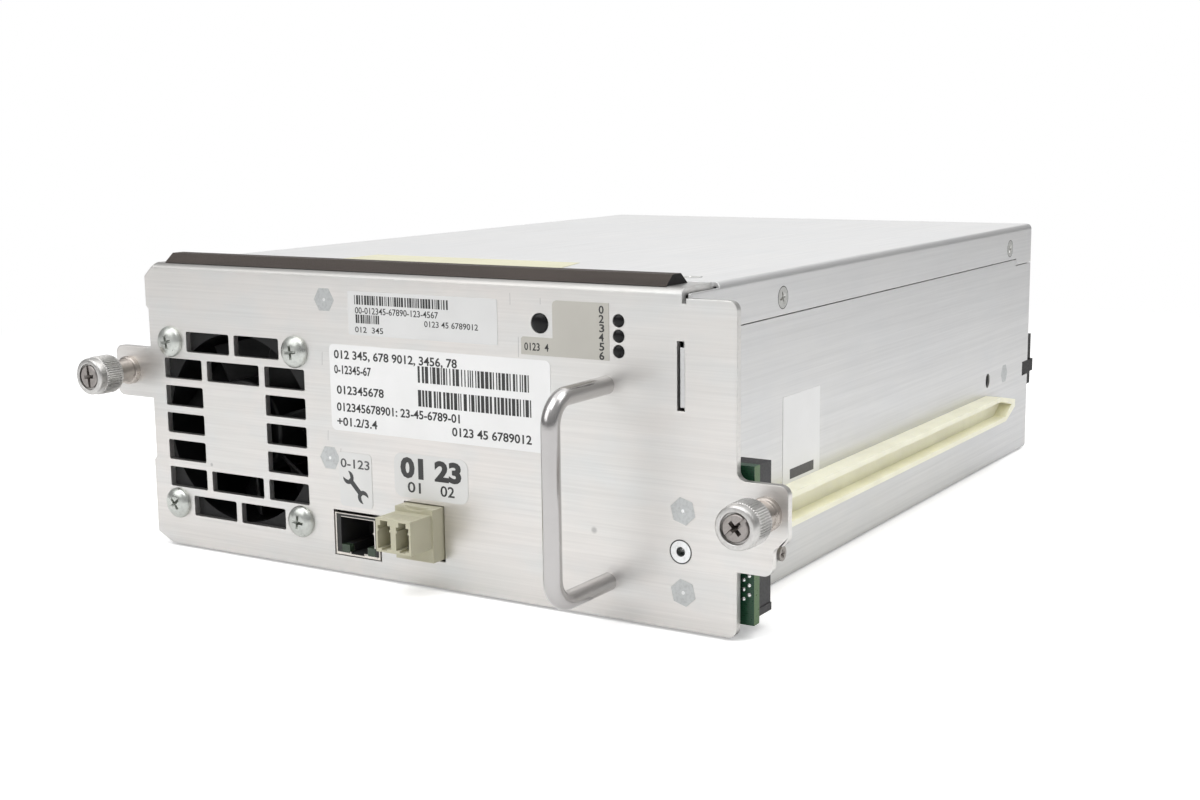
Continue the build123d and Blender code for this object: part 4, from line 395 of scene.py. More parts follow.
finishOf = {
    "panelSteel": ["rear_panel"],
    "chassisSteel": ["chassis_tray", "end_plate"],
    "coverSteel": ["top_cover"],
    "innerSteel": ["side_brackets", "drive_cover", "threading_arm"],
    "gasketCloth": ["top_gasket"],
    "handleBar": ["carry_handle"],
    "screwSteel": ["cover_screws", "pan_head_screws", "side_screw", "door_pin"],
    "thumbScrewSteel": ["left_thumb_screw", "right_thumb_screw"],
    "fanScrewSteel": ["fan_screws"],
    "knobSteel": ["left_thumb_knob", "right_thumb_knob"],
    "ferruleSteel": ["thumb_ferrules"],
    "springSteel": ["left_thumb_spring", "right_thumb_spring", "door_spring"],
    "studSteel": ["board_standoffs", "connector_studs", "connector_nuts", "wall_post"],
    "bushSteel": ["threaded_bush"],
    "fanPlastic": ["fan_frame", "fan_rotor"],
    "jackNickel": ["jack_shield"],
    "jackPlastic": ["jack_insert"],
    "jackLens": ["jack_lights"],
    "contactGold": ["jack_contacts", "connector_pins"],
    "adapterPlastic": ["optical_adapter"],
    "sleeveCeramic": ["adapter_sleeves"],
    "boardLaminate": ["interface_board", "connector_board", "drive_board"],
    "darkLens": ["light_pipes"],
    "connectorPlastic": ["blind_mate_connector"],
    "railNylon": ["left_guide_rail", "right_guide_rail"],
    "bezelPlastic": ["loader_bezel", "cartridge_door"],
    "driveCast": ["drive_base", "head_carriage"],
    "motorSteel": ["supply_motor", "take_up_motor", "head_actuator"],
    "hubPlastic": ["supply_hub", "take_up_reel"],
    "rollerAluminium": ["entry_roller", "front_head_roller", "rear_head_roller", "reel_roller"],
    "headCeramic": ["tape_head"],
    "trayPlastic": ["cartridge_tray", "tray_guides"],
}
for finishName, names in finishOf.items():
    for nodeName in names:
        materials = nodeOf[nodeName].data.materials
        materials.clear()
        materials.append(finishes[finishName])
print("finishes on nodes:", sum(len(names) for names in finishOf.values()))


# ---- mesh building ----
def showPiece(name, meshData, finish, body="sled", replaced=None, smooth=None):
    if smooth is not None:
        for face in meshData.polygons:
            face.use_smooth = True
        meshData.set_sharp_from_angle(angle=math.radians(smooth))
    piece = bpy.data.objects.new(name, meshData)
    bpy.context.scene.collection.objects.link(piece)
    meshData.materials.append(finishes[finish])
    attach(piece, body)
    if replaced:
        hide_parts(replaced)


def meshFrom(name, build, evenNormals=False):
    work = bmesh.new()
    build(work)
    if evenNormals:
        bmesh.ops.recalc_face_normals(work, faces=work.faces)
    meshData = bpy.data.meshes.new(name)
    work.to_mesh(meshData)
    work.free()
    return meshData


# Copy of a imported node's mesh with its corners joined, put through the given change
def nodeMesh(nodeName, change):
    meshData = nodeOf[nodeName].data.copy()
    meshData.materials.clear()
    if "custom_normal" in meshData.attributes:
        meshData.attributes.remove(meshData.attributes["custom_normal"])
    work = bmesh.new()
    work.from_mesh(meshData)
    bmesh.ops.remove_doubles(work, verts=work.verts, dist=0.000001)
    change(work)
    work.to_mesh(meshData)
    work.free()
    return meshData


# Mesh of a closed form after boolean steps, each an operation and the maker of the second form
def cutMesh(name, blankMesh, steps):
    meshes = [blankMesh] + [meshFrom(name + ".cutter", maker, True) for operation, maker in steps]
    helpers = [bpy.data.objects.new(name + ".helper", meshData) for meshData in meshes]
    for helper in helpers:
        bpy.context.scene.collection.objects.link(helper)
    blank = helpers[0]
    for (operation, maker), cutter in zip(steps, helpers[1:]):
        boolean = blank.modifiers.new("step", "BOOLEAN")
        boolean.operation = operation
        boolean.solver = "EXACT"
        boolean.object = cutter
    bpy.context.view_layer.update()
    meshData = bpy.data.meshes.new_from_object(blank.evaluated_get(bpy.context.evaluated_depsgraph_get()))
    for helper in helpers:
        bpy.data.objects.remove(helper)
    meshData.materials.clear()
    return meshData


# Form cut by booleans, shown in place of its CAD node
def showCut(name, maker, steps, finish, replaced, smooth=28, body="sled"):
    meshData = cutMesh(name, meshFrom(name, maker, True), steps)
    showPiece(name, meshData, finish, body, replaced, smooth)


def box(u0, u1, v0, v1):
    return [(u0, v0), (u1, v0), (u1, v1), (u0, v1)]


def circlePoints(radius, count):
    angles = [2 * math.pi * i / count for i in range(count)]
    return [(radius * math.cos(angle), radius * math.sin(angle)) for angle in angles]


def roundedOutline(u0, u1, v0, v1, radius, steps=5):
    points = []
    corners = ((u1 - radius, v1 - radius, 0), (u0 + radius, v1 - radius, 90),
               (u0 + radius, v0 + radius, 180), (u1 - radius, v0 + radius, 270))
    for cornerU, cornerV, start in corners:
        for step in range(steps + 1):
            angle = math.radians(start + 90 * step / steps)
            points.append((cornerU + radius * math.cos(angle), cornerV + radius * math.sin(angle)))
    return points


# Skin between rings of equal count; closed joins the last ring to the first, capped fills both ends
def skin(work, rings, closed=False, capped=False):
    following = rings[1:] + rings[:1] if closed else rings[1:]
    for first, second in zip(rings, following):
        for i in range(len(first)):
            j = (i + 1) % len(first)
            work.faces.new((first[i], first[j], second[j], second[i]))
    if capped:
        work.faces.new(rings[0])
        work.faces.new(rings[-1])


def flatPlate(work, outline, low, high):
    bottom, top = ([work.verts.new((u * mm, v * mm, w * mm)) for u, v in outline] for w in (low, high))
    work.faces.new(top)
    work.faces.new(list(reversed(bottom)))
    skin(work, [bottom, top])


def prismY(work, outline, y0, y1, middle=0):
    near, far = ([work.verts.new(((middle + u) * mm, y * mm, v * mm)) for u, v in outline] for y in (y0, y1))
    work.faces.new(near)
    work.faces.new(list(reversed(far)))
    skin(work, [far, near])


# Frames for round forms: two directions across and one out. Turn is measured in the plane across
def recessFrame(outward, turn=0):
    out = Vector(outward)
    u = Vector((0, 1, 0)) if abs(out.x) > 0.5 else Vector((1, 0, 0))
    v = out.cross(u)
    c, s = math.cos(math.radians(turn)), math.sin(math.radians(turn))
    return u * c + v * s, v * c - u * s, out


panelOut = (0, -1, 0)
intoPanel = (Vector((1, 0, 0)), Vector((0, 0, 1)), Vector((0, 1, 0)))


def ringsOf(work, place, axes, profile, around):
    u, v, out = axes
    return [[work.verts.new(Vector(place) + (u * a + v * b + out * lift) * mm)
             for a, b in circlePoints(radius, around)] for radius, lift in profile]


def dome(work, place, radius, height, steps, around):
    axes = recessFrame(panelOut)
    turns = [math.pi / 2 * step / steps for step in range(steps)]
    rings = ringsOf(work, place, axes, [(radius * math.cos(t), height * math.sin(t)) for t in turns], around)
    skin(work, rings)
    tip = work.verts.new(Vector(place) + axes[2] * height * mm)
    for i in range(around):
        work.faces.new((rings[-1][i], rings[-1][(i + 1) % around], tip))
    work.faces.new(list(reversed(rings[0])))


# ---- labels and printing ----
# Each labelled face has u and v along it and the third axis out of it
faceFrames = {
    "panel": Matrix(((1, 0, 0, 0), (0, 0, -1, panelFace), (0, 1, 0, 0), (0, 0, 0, 1))),
    "wall": Matrix(((0, 0, 1, wallFace), (1, 0, 0, 0), (0, 1, 0, 0), (0, 0, 0, 1))),
    "top": Matrix(((1, 0, 0, 0), (0, 1, 0, 0), (0, 0, 1, topFace), (0, 0, 0, 1))),
}
printLook = {"paper": 0.10, "inkTop": 0.125, "capHeight": 0.69, "halfThick": 0.012, "lift": 0.013, "curve": 3}


def addPrint(name, face, shapes, finish="labelInk", low=printLook["paper"], high=printLook["inkTop"]):
    def build(work):
        for outline in shapes:
            flatPlate(work, outline, low, high)
    meshData = meshFrom(name, build)
    meshData.transform(faceFrames[face])
    showPiece(name, meshData, finish)


# Random stripes: they look like a barcode and hold no data
def barcodeStripes(u0, u1, v0, v1, unit, seed):
    dice = random.Random(seed)
    shapes = []
    u = u0
    while u < u1 - unit:
        width = unit * dice.choice((1, 1, 2, 2, 3))
        shapes.append(box(u, min(u + width, u1), v0, v1))
        u += width + unit * dice.choice((1, 1, 2))
    return shapes


# Digits set as text, made into a mesh so that the label carries no words
def addDigits(name, text, u, v, height, width, bold, finish="labelInk"):
    data = bpy.data.curves.new(name, "FONT")
    data.body = text
    data.size = height * mm / printLook["capHeight"]
    data.extrude = printLook["halfThick"] * mm
    data.offset = bold * height * mm
    data.resolution_u = printLook["curve"]
    writing = bpy.data.objects.new(name, data)
    bpy.context.scene.collection.objects.link(writing)
    bpy.context.view_layer.update()
    meshData = bpy.data.meshes.new_from_object(writing.evaluated_get(bpy.context.evaluated_depsgraph_get()))
    bpy.data.objects.remove(writing)
    xs = [vertex.co.x for vertex in meshData.vertices]
    meshData.transform(Matrix.Diagonal((width * mm / (max(xs) - min(xs)), 1, 1, 1)))
    meshData.transform(Matrix.Translation((u * mm, v * mm, (printLook["paper"] + printLook["lift"]) * mm)))
    meshData.transform(faceFrames["panel"])
    showPiece(name, meshData, finish)


# Labels by outline: u from and to, v from and to, corner radius; the other two by their corners
labelLooks = {
    "serial_label": ("panel", roundedOutline(-15.6, 35.4, 69.9, 82.2, 0.4), "greyLabel"),
    "drive_label": ("panel", roundedOutline(-23.1, 51.9, 42.2, 66.9, 1.6), "whiteLabel"),
    "light_label": ("panel", [(42.9, 68.1), (69.9, 68.1), (69.9, 82.7), (54.0, 82.7), (53.1, 82.3),
                              (52.8, 81.6), (52.8, 72.8), (43.5, 72.8), (42.9, 72.3)], "taupeLabel"),
    "tool_label": ("panel", roundedOutline(-21.0, -9.1, 20.3, 36.0, 1.2), "signLabel"),
    "ports_label": ("panel", roundedOutline(-0.9, 24.5, 25.3, 37.8, 2.6), "signLabel"),
    "side_label": ("wall", roundedOutline(-82.9, -58.4, 27.6, 52.4, 0.5), "whiteLabel"),
    "cover_label": ("top", [(-46.2, -118.0), (37.5, -118.0), (29.0, -86.0), (-46.2, -86.0)], "yellowLabel"),
}
for name, (face, outline, finish) in labelLooks.items():
    addPrint(name, face, [outline], finish, 0.0, printLook["paper"])

# Barcodes: u from and to, v from and to, narrowest stripe, seed
barcodeLooks = {
    "serial_barcodes": ((-13.2, 19.3, 78.5, 81.1, 0.24, 3), (-12.9, -4.2, 73.3, 75.7, 0.22, 5)),
    "drive_barcodes": ((8.4, 46.1, 58.0, 62.6, 0.36, 11), (8.3, 46.0, 51.4, 56.0, 0.36, 17)),
}
for name, codes in barcodeLooks.items():
    addPrint(name, "panel", [stripe for code in codes for stripe in barcodeStripes(*code)])

# Digits: text, u, v, height, width, boldness and ink
digitLooks = {
    "serial_digits": ("00-012345-67890-123-4567", -13.1, 76.0, 1.75, 29.0, 0.012),
    "serial_line": ("0123 45 6789012", 11.1, 73.5, 1.6, 18.0, 0.012),
    "revision_digits": ("012  345", -13.3, 70.7, 1.6, 10.0, 0.012),
    "drive_line_1": ("012 345, 678 9012, 3456, 78", -21.4, 62.9, 2.3, 43.2, 0.03),
    "drive_line_2": ("0-12345-67", -21.5, 58.6, 2.3, 13.4, 0.03),
    "drive_line_3": ("012345678", -20.8, 52.8, 2.3, 17.0, 0.03),
    "drive_line_4": ("012345678901: 23-45-6789-01", -21.0, 47.9, 2.3, 43.3, 0.03),
    "drive_line_5": ("+01.2/3.4", -21.2, 43.7, 2.3, 14.6, 0.03),
    "drive_line_6": ("0123 45 6789012", 19.6, 44.2, 2.3, 26.1, 0.03),
    "port_digit": ("0123  4", 43.9, 69.3, 1.95, 7.6, 0.02),
    "tool_digits": ("0-123", -20.5, 31.6, 2.5, 10.6, 0.02, "greyInk"),
    "ports_digits": ("01 23", 1.5, 31.2, 5.2, 21.0, 0.07),
    "left_port_digit": ("01", 3.6, 26.9, 2.9, 4.6, 0.02),
    "right_port_digit": ("02", 15.0, 26.9, 2.9, 4.8, 0.02),
}
for name, line in digitLooks.items():
    addDigits(name, *line)

statusLook = {"digits": "023456", "u": 66.9, "top": 80.0, "step": 2.35, "height": 1.95, "width": 1.5,
              "bold": 0.03}


def addStatusDigits(look):
    for number, digit in enumerate(look["digits"]):
        addDigits(f"status_digit_{number + 1}", digit, look["u"], look["top"] - look["step"] * number,
                  look["height"], look["width"], look["bold"])


addStatusDigits(statusLook)

# Double-ended spanner, drawn as one outline: open jaws out at both ends of a straight shaft
spannerLook = {"start": (-17.75, 28.75), "end": (-12.55, 23.45), "head": 1.95, "shaft": 0.62, "mouth": 44,
               "neck": 4, "jaw": ((0.10, 0.52), (-0.30, 0.26)), "steps": 8}


def spannerOutline(look):
    start, end = Vector(look["start"]), Vector(look["end"])
    along = (end - start).normalized()
    side = Vector((-along.y, along.x))
    head, mouth, steps = look["head"], look["mouth"], look["steps"]
    neck = math.degrees(math.asin(look["shaft"] / head)) + look["neck"]
    outline = []
    for centre, way in ((end, 1), (start, -1)):
        turns = [math.radians(180 - neck - (180 - neck - mouth) * step / steps) for step in range(steps + 1)]
        local = [(head * math.cos(turn), head * math.sin(turn)) for turn in turns]
        local += [(x * head, y * head) for x, y in look["jaw"]]
        local += [(x, -y) for x, y in reversed(local)]
        outline += [tuple(centre + along * (way * x) + side * (way * y)) for x, y in local]
    return outline


addPrint("tool_sign", "panel", [spannerOutline(spannerLook)], "spannerInk")
addPrint("side_label_bar", "wall", [box(-78.4, -62.6, 28.6, 31.4)], "greyInk")

# Faint tooling marks scribed in the panel, and the edge of the clear film over the lights
scribeLook = {"width": 0.16, "high": 0.01,
              "lines": (((-26.0, 60.5), (-25.8, 64.3)), ((-24.9, 38.9), (-24.7, 41.8)),
                        ((-20.5, 33.0), (-20.2, 36.9)), ((49.1, 81.4), (49.1, 83.1)),
                        ((42.0, 67.2), (42.0, 72.6)), ((39.6, 84.0), (39.6, 80.9)))}


def scribedLine(start, end, width):
    start, end = Vector(start), Vector(end)
    along = (end - start).normalized()
    side = Vector((-along.y, along.x)) * width / 2
    return [tuple(start + side), tuple(start - side), tuple(end - side), tuple(end + side)]


scribes = [scribedLine(*line, scribeLook["width"]) for line in scribeLook["lines"]]
addPrint("panel_scribe_marks", "panel", scribes, "markGrey", 0.0, scribeLook["high"])

# The turning mark left in the middle of each hex head
hexMarks = {"places": ((-24.4, 79.3), (-24.4, 33.8), (61.0, 75.2), (91.0, 31.45), (91.0, 10.35)),
            "radius": 0.5, "around": 20, "high": 0.03}
dot = circlePoints(hexMarks["radius"], hexMarks["around"])
addPrint("hex_head_marks", "panel", [[(u + a, v + b) for a, b in dot] for u, v in hexMarks["places"]],
         "bushSteel", 0.0, hexMarks["high"])
print("labels and printing on")

# ---- thumbscrews ----
# Knurled knob turned about Y: smooth land at the front, straight teeth behind it
knobLook = {"deep": 9.3, "teeth": 52, "cut": 0.30, "toothForm": (0, 0.4, 1, 0.4), "land": 2.6, "outer": 5.8,
            "recess": 3.95, "bore": 2.0, "skirt": 4.0, "floor": 1.4, "web": 0.8}


# Each corner of the knob's section: radius, depth behind the front, and whether it is knurled
def knobProfile(look):
    outer, recess, floor, deep = look["outer"], look["recess"], look["floor"], look["deep"]
    back = floor + look["web"]
    return [
        (look["bore"], floor, False), (recess, floor, False), (recess, 0.12, False),
        (recess + 0.12, 0, False), (outer - 1.15, 0, False), (outer - 0.75, 0.10, False),
        (outer - 0.40, 0.42, False),
        (outer - 0.28, 0.85, False), (outer - 0.28, look["land"], False), (outer, look["land"] + 0.22, True),
        (outer, deep - 1.05, True), (outer - 0.30, deep - 0.85, False), (outer - 0.34, deep - 0.35, False),
        (outer - 0.75, deep, False), (look["skirt"], deep, False), (look["skirt"], back, False),
        (look["bore"], back, False),
    ]


def buildKnob(side):
    look = knobLook
    low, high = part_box(f"{side}_thumb_knob")
    place = Vector(((low.x + high.x) / 2, low.y, (low.z + high.z) / 2))
    form = look["toothForm"]
    around = look["teeth"] * len(form)

    def build(work):
        rings = []
        for radius, depth, knurled in knobProfile(look):
            ring = []
            for step, (c, s) in enumerate(circlePoints(1, around)):
                r = radius - (look["cut"] * form[step % len(form)] if knurled else 0)
                ring.append(work.verts.new(place + Vector((r * c, depth, r * s)) * mm))
            rings.append(ring)
        skin(work, rings, closed=True)

    name = f"{side}_knurled_knob"
    showPiece(name, meshFrom(name, build, True), "knobSteel", f"{side}_thumbscrew",
              f"{side}_thumb_knob", 25)


# Ferrules: a base ring on the ear, a barrel that runs into the knob's skirt, a bore for spring and screw
ferruleLook = {"around": 56,
               "profile": ((4.35, 0.0), (4.35, -1.5), (4.15, -1.75), (3.75, -1.9), (3.6, -2.3), (3.6, -7.6),
                           (3.4, -8.6), (2.9, -8.6), (2.9, -0.5), (2.05, -0.5), (2.05, 2.0),
                           (3.1, 2.0), (3.1, 0.0))}


def ferrules(work):
    for side in ("left", "right"):
        low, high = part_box(f"{side}_thumb_screw")
        place = ((low.x + high.x) / 2, panelFace, (low.z + high.z) / 2)
        rings = ringsOf(work, place, intoPanel, ferruleLook["profile"], ferruleLook["around"])
        skin(work, rings, closed=True)


# Cutters for driver recesses, narrowing with depth, their tops kept clear of the head
cutterAbove = 0.4


def tapered(work, place, axes, outline, depth, point):
    u, v, out = axes
    ends = []
    for lift in (cutterAbove, -depth):
        grow = 1 + (1 - point) * lift / depth
        ends.append([work.verts.new(Vector(place) + ((u * a + v * b) * grow + out * lift) * mm)
                     for a, b in outline])
    top, bottom = ends
    work.faces.new(top)
    work.faces.new(list(reversed(bottom)))
    skin(work, [bottom, top])


def crossCutter(work, place, outward, turn, look):
    w, t = look["wing"], look["thick"] / 2
    plus = [(w, t), (t, t), (t, w), (-t, w), (-t, t), (-w, t), (-w, -t), (-t, -t), (-t, -w), (t, -w),
            (t, -t), (w, -t)]
    tapered(work, place, recessFrame(outward, turn), plus, look["depth"], look["point"])


def slotCutter(work, place, outward, turn, look):
    half, t = look["slotHalf"], look["slotThick"] / 2
    tapered(work, place, recessFrame(outward, turn), [(half, t), (-half, t), (-half, -t), (half, -t)],
            look["slotDepth"], look["slotPoint"])


# Captive screws: a driver slot right across the head with a cross at its middle
thumbLook = {"head": 3.45, "edge": 0.25, "headDeep": 1.3, "shank": 1.9, "tip": 0.5, "around": 48,
             "turns": {"left": 95, "right": 42}, "wing": 2.0, "thick": 1.1, "depth": 2.6, "point": 0.3,
             "slotHalf": 4.2, "slotThick": 0.9, "slotDepth": 0.7, "slotPoint": 0.96}


def buildThumbScrew(side):
    look = thumbLook
    low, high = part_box(f"{side}_thumb_screw")
    face = ((low.x + high.x) / 2, low.y, (low.z + high.z) / 2)
    length = (high.y - low.y) / mm
    head, edge, deep, shank, tip = (look[key] for key in ("head", "edge", "headDeep", "shank", "tip"))
    profile = ((head - edge, 0), (head, edge), (head, deep), (shank, deep), (shank, length - tip),
               (shank - tip, length))

    def screw(work):
        skin(work, ringsOf(work, face, intoPanel, profile, look["around"]), capped=True)

    def cross(work):
        crossCutter(work, face, panelOut, look["turns"][side], look)

    def slot(work):
        slotCutter(work, face, panelOut, look["turns"][side], look)

    showCut(f"{side}_captive_screw", screw, [("DIFFERENCE", cross), ("DIFFERENCE", slot)], "thumbScrewSteel",
            f"{side}_thumb_screw", body=f"{side}_thumbscrew")


for side in ("left", "right"):
    buildKnob(side)
    buildThumbScrew(side)
showPiece("thumbscrew_ferrules", meshFrom("thumbscrew_ferrules", ferrules, True), "ferruleSteel",
          replaced="thumb_ferrules", smooth=30)
print("thumbscrews made")


# ---- sheets fitted to the photograph ----
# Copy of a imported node: a move takes the corners inside a box (mm, y from the panel's face) by an
# offset, a turn takes the corners of round or hexagonal heads about their middles
def nudgedNode(name, nodeName, moves, finish, turn=None):
    def nudge(work):
        for (x0, x1, y0, y1, z0, z1), offset in moves:
            for vertex in work.verts:
                x, y, z = vertex.co / mm
                if x0 <= x <= x1 and y0 <= y - panelFace / mm <= y1 and z0 <= z <= z1:
                    vertex.co += Vector(offset) * mm
        if turn is None:
            return
        rotation = Matrix.Rotation(math.radians(-turn["degrees"]), 3, "Y")
        for x, z in turn["places"]:
            for vertex in work.verts:
                away = Vector((vertex.co.x - x * mm, 0, vertex.co.z - z * mm))
                onHead = turn["inner"] * mm < away.length < turn["outer"] * mm
                if onHead and vertex.co.y < panelFace + turn["deep"] * mm:
                    vertex.co += rotation @ away - away

    showPiece(name, nodeMesh(nodeName, nudge), finish, replaced=nodeName, smooth=28)


# The panel: longer left ear, shorter right ear, lower adapter opening, narrower tab slot
panelMoves = {
    "leftEar": ((-112, -107.5, -1, 3, 40, 66), (-0.75, 0, 0)),
    "rightEar": ((118.2, 123, -1, 3, 20, 46), (-0.9, 0, 0)),
    "adapterTop": ((1.5, 17, -1, 3, 24.9, 25.6), (0, 0, -1.1)),
    "slotLeft": ((89.6, 89.8, -1, 3, 55, 76), (-0.25, 0, 0)),
    "slotRight": ((92.9, 93.1, -1, 3, 55, 76), (-1.35, 0, 0)),
}
studTurn = {"places": ((91.0, 31.45), (91.0, 10.35)), "inner": 1.9, "outer": 4.0, "deep": 2.0, "degrees": 13}
gasketMoves = {
    "leftEnd": ((-92, -84, -9, 20, 80, 92), (3.4, 0, 0)),
    "rightEnd": ((80, 87, -9, 20, 80, 92), (0.4, 0, 0)),
}
# The notch of the right wall closes down to the connector board
trayMoves = {"notchTop": ((91, 93, -1, 20, 45.5, 46.5), (0, 0, -2.0))}
nudgedNode("service_panel_sheet", "rear_panel", panelMoves.values(), "panelSteel", studTurn)
nudgedNode("turned_connector_studs", "connector_studs", (), "studSteel", studTurn)
nudgedNode("top_gasket_strip", "top_gasket", gasketMoves.values(), "gasketCloth")
nudgedNode("chassis_tray_sheet", "chassis_tray", trayMoves.values(), "chassisSteel")

# End of the wall's tab, seen in the panel's slot
tabLook = {"outline": (90.3, 91.5, 57.7, 72.7), "from": 0.15, "to": 8.0}


def slotTab(work):
    face = panelFace / mm
    prismY(work, box(*tabLook["outline"]), face + tabLook["from"], face + tabLook["to"])


showPiece("chassis_slot_tab", meshFrom("chassis_slot_tab", slotTab), "chassisSteel")
print("sheets fitted to the photograph")

# ---- screws ----
# Fan screws: fat domed heads, each cross left at its own angle
fanScrewLook = {"radius": 4.7, "height": 2.5, "rim": 0.4, "shank": 1.9, "shankEnd": 7.0, "around": 48,
                "pitch": 50, "wing": 2.3, "thick": 1.0, "depth": 1.8, "point": 0.35,
                "turns": {"lowLeft": 38, "highLeft": 12, "lowRight": 84, "highRight": 97}}
fanLow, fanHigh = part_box("fan_screws")
inset = (fanHigh.z - fanLow.z - fanScrewLook["pitch"] * mm) / 2
fanPlaces = {level + end: Vector((x, panelFace, z))
             for end, x in (("Left", fanLow.x + inset), ("Right", fanHigh.x - inset))
             for level, z in (("low", fanLow.z + inset), ("high", fanHigh.z - inset))}


def fanHeads(work):
    look = fanScrewLook
    radius, rim = look["radius"], look["rim"]
    turns = [math.radians(t) for t in range(0, 70, 8)]
    profile = [(look["shank"], look["shankEnd"]), (look["shank"], 0), (radius - 0.1, 0), (radius, -0.15)]
    profile += [(radius * math.cos(t), -rim - (look["height"] - rim) * math.sin(t)) for t in turns]
    for place in fanPlaces.values():
        skin(work, ringsOf(work, place, intoPanel, profile, look["around"]), capped=True)


def fanCrosses(work):
    look = fanScrewLook
    for corner, place in fanPlaces.items():
        top = place + Vector(panelOut) * look["height"] * mm
        crossCutter(work, top, panelOut, look["turns"][corner], look)


showCut("fan_screw_heads", fanHeads, [("DIFFERENCE", fanCrosses)], "fanScrewSteel",
        "fan_screws")

# Countersunk screws of the cover: two on each flange, two on top by the gasket. Seats at the sides are
# depth behind the panel, height and turn; a thin black ring round each head is painted shadow in the
# countersink's gap
coverScrewLook = {"radius": 2.95, "proud": 0.05, "under": 2.0, "shank": 1.4, "around": 40, "wing": 1.75,
                  "thick": 0.8, "depth": 0.9, "point": 0.4, "top": (79.1, 26.0, 33), "gap": 0.22,
                  "shadowRingHigh": 0.02, "sides": ((53.5, 80.1, 20), (248.3, 79.7, 50))}
screwSeats = []
for way in (-1, 1):
    for depth, height, turn in coverScrewLook["sides"]:
        screwSeats.append(((way * wallFace, panelFace + depth * mm, height * mm), (way, 0, 0), turn))
    x, depth, turn = coverScrewLook["top"]
    screwSeats.append(((way * x * mm, panelFace + depth * mm, topFace), (0, 0, 1), turn))


def flatHeads(work):
    look = coverScrewLook
    profile = ((look["shank"], -1.3), (look["under"], -0.7), (look["radius"], -0.02),
               (look["radius"] - 0.03, look["proud"]))
    for place, outward, turn in screwSeats:
        skin(work, ringsOf(work, place, recessFrame(outward), profile, look["around"]), capped=True)


def coverCrosses(work):
    for place, outward, turn in screwSeats:
        crossCutter(work, place, outward, turn, coverScrewLook)


# A flat black ring lying on the sheet: painted shadow where a real gap would sit in shade
def paintedShadowRing(work, place, outward, inner, outer):
    high = coverScrewLook["shadowRingHigh"]
    profile = ((inner, 0.0), (inner, high), (outer, high), (outer, 0.0))
    skin(work, ringsOf(work, place, recessFrame(outward), profile, coverScrewLook["around"]), closed=True)


# The threaded bush gets the same painted shadow line: "inside" and "outside" are measured from its edge
bushShadowRing = {"inside": 0.3, "outside": 0.02}


def paintedShadowRings(work):
    look = coverScrewLook
    for place, outward, turn in screwSeats:
        paintedShadowRing(work, place, outward, look["radius"], look["radius"] + look["gap"])
    low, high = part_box("threaded_bush")
    radius = (high.x - low.x) / 2 / mm
    paintedShadowRing(work, ((low.x + high.x) / 2, panelFace, (low.z + high.z) / 2), panelOut,
            radius - bushShadowRing["inside"], radius + bushShadowRing["outside"])


showCut("cover_screw_heads", flatHeads, [("DIFFERENCE", coverCrosses)], "screwSteel",
        "cover_screws")
# Black ink rings of painted shadow round the screw heads and the bush
showPiece("seat_painted_shadow_rings", meshFrom("seat_painted_shadow_rings", paintedShadowRings), "labelInk")

# Small screw low in the right wall
sideScrewLook = {"wing": 1.3, "thick": 0.9, "depth": 0.8, "point": 0.5, "turn": 10}
sideLow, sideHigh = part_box("side_screw")
sideFace = (sideHigh.x, (sideLow.y + sideHigh.y) / 2, (sideLow.z + sideHigh.z) / 2)
sideBlank = nodeMesh("side_screw", lambda work: bmesh.ops.recalc_face_normals(work, faces=work.faces))


def sideCross(work):
    crossCutter(work, sideFace, (1, 0, 0), sideScrewLook["turn"], sideScrewLook)


sideMesh = cutMesh("side_screw_head", sideBlank, [("DIFFERENCE", sideCross)])
showPiece("side_screw_head", sideMesh, "thumbScrewSteel", "sled", "side_screw", 28)
print("screws made")

# ---- ports ----
# Two-port adapter: body out of a thicker flange, keyed plug holes, grip grooves and a thumb scoop. A plug
# hole is drawn as heights and half widths, grooves by their distance behind the front
adapterLook = {"centre": 9.1, "body": (-6.0, 6.0, 13.0, 22.4), "flange": (-6.5, 6.5, 9.0, 23.8),
               "flangeReach": 4.7, "flangeBack": 2.0, "ports": (-3.15, 3.15), "portDepth": 11.0,
               "port": ((13.5, 0.95), (14.0, 0.95), (14.0, 2.25), (18.8, 2.25), (18.8, 1.85), (19.4, 1.85),
                        (19.4, 2.15), (20.5, 2.15), (20.5, 1.25), (21.8, 1.25)),
               "grooves": (1.8, 3.0, 4.2, 5.4), "grooveHalf": 5.2, "grooveWidth": 0.35, "grooveDepth": 0.22,
               "scoopHalf": 4.6, "scoopDeep": 1.5, "scoopRise": 0.6, "scoopSag": 1.4, "scoopSteps": 16}
adapterLow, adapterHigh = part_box("optical_adapter")
adapterFront = adapterLow.y / mm


def adapterBody(work):
    prismY(work, box(*adapterLook["body"]), adapterFront, adapterHigh.y / mm, adapterLook["centre"])


def adapterFlange(work):
    face = panelFace / mm
    prismY(work, box(*adapterLook["flange"]), face - adapterLook["flangeReach"],
           face + adapterLook["flangeBack"], adapterLook["centre"])


def adapterPorts(work):
    half = adapterLook["port"]
    outline = [(w, z) for z, w in half] + [(-w, z) for z, w in reversed(half)]
    for offset in adapterLook["ports"]:
        prismY(work, outline, adapterFront - 1.0, adapterFront + adapterLook["portDepth"],
               adapterLook["centre"] + offset)


def adapterGrooves(work):
    look = adapterLook
    half, top = look["grooveHalf"], look["body"][3]
    for along in look["grooves"]:
        y = adapterFront + along
        prismY(work, box(-half, half, top - look["grooveDepth"], top + 1.0), y, y + look["grooveWidth"],
               look["centre"])


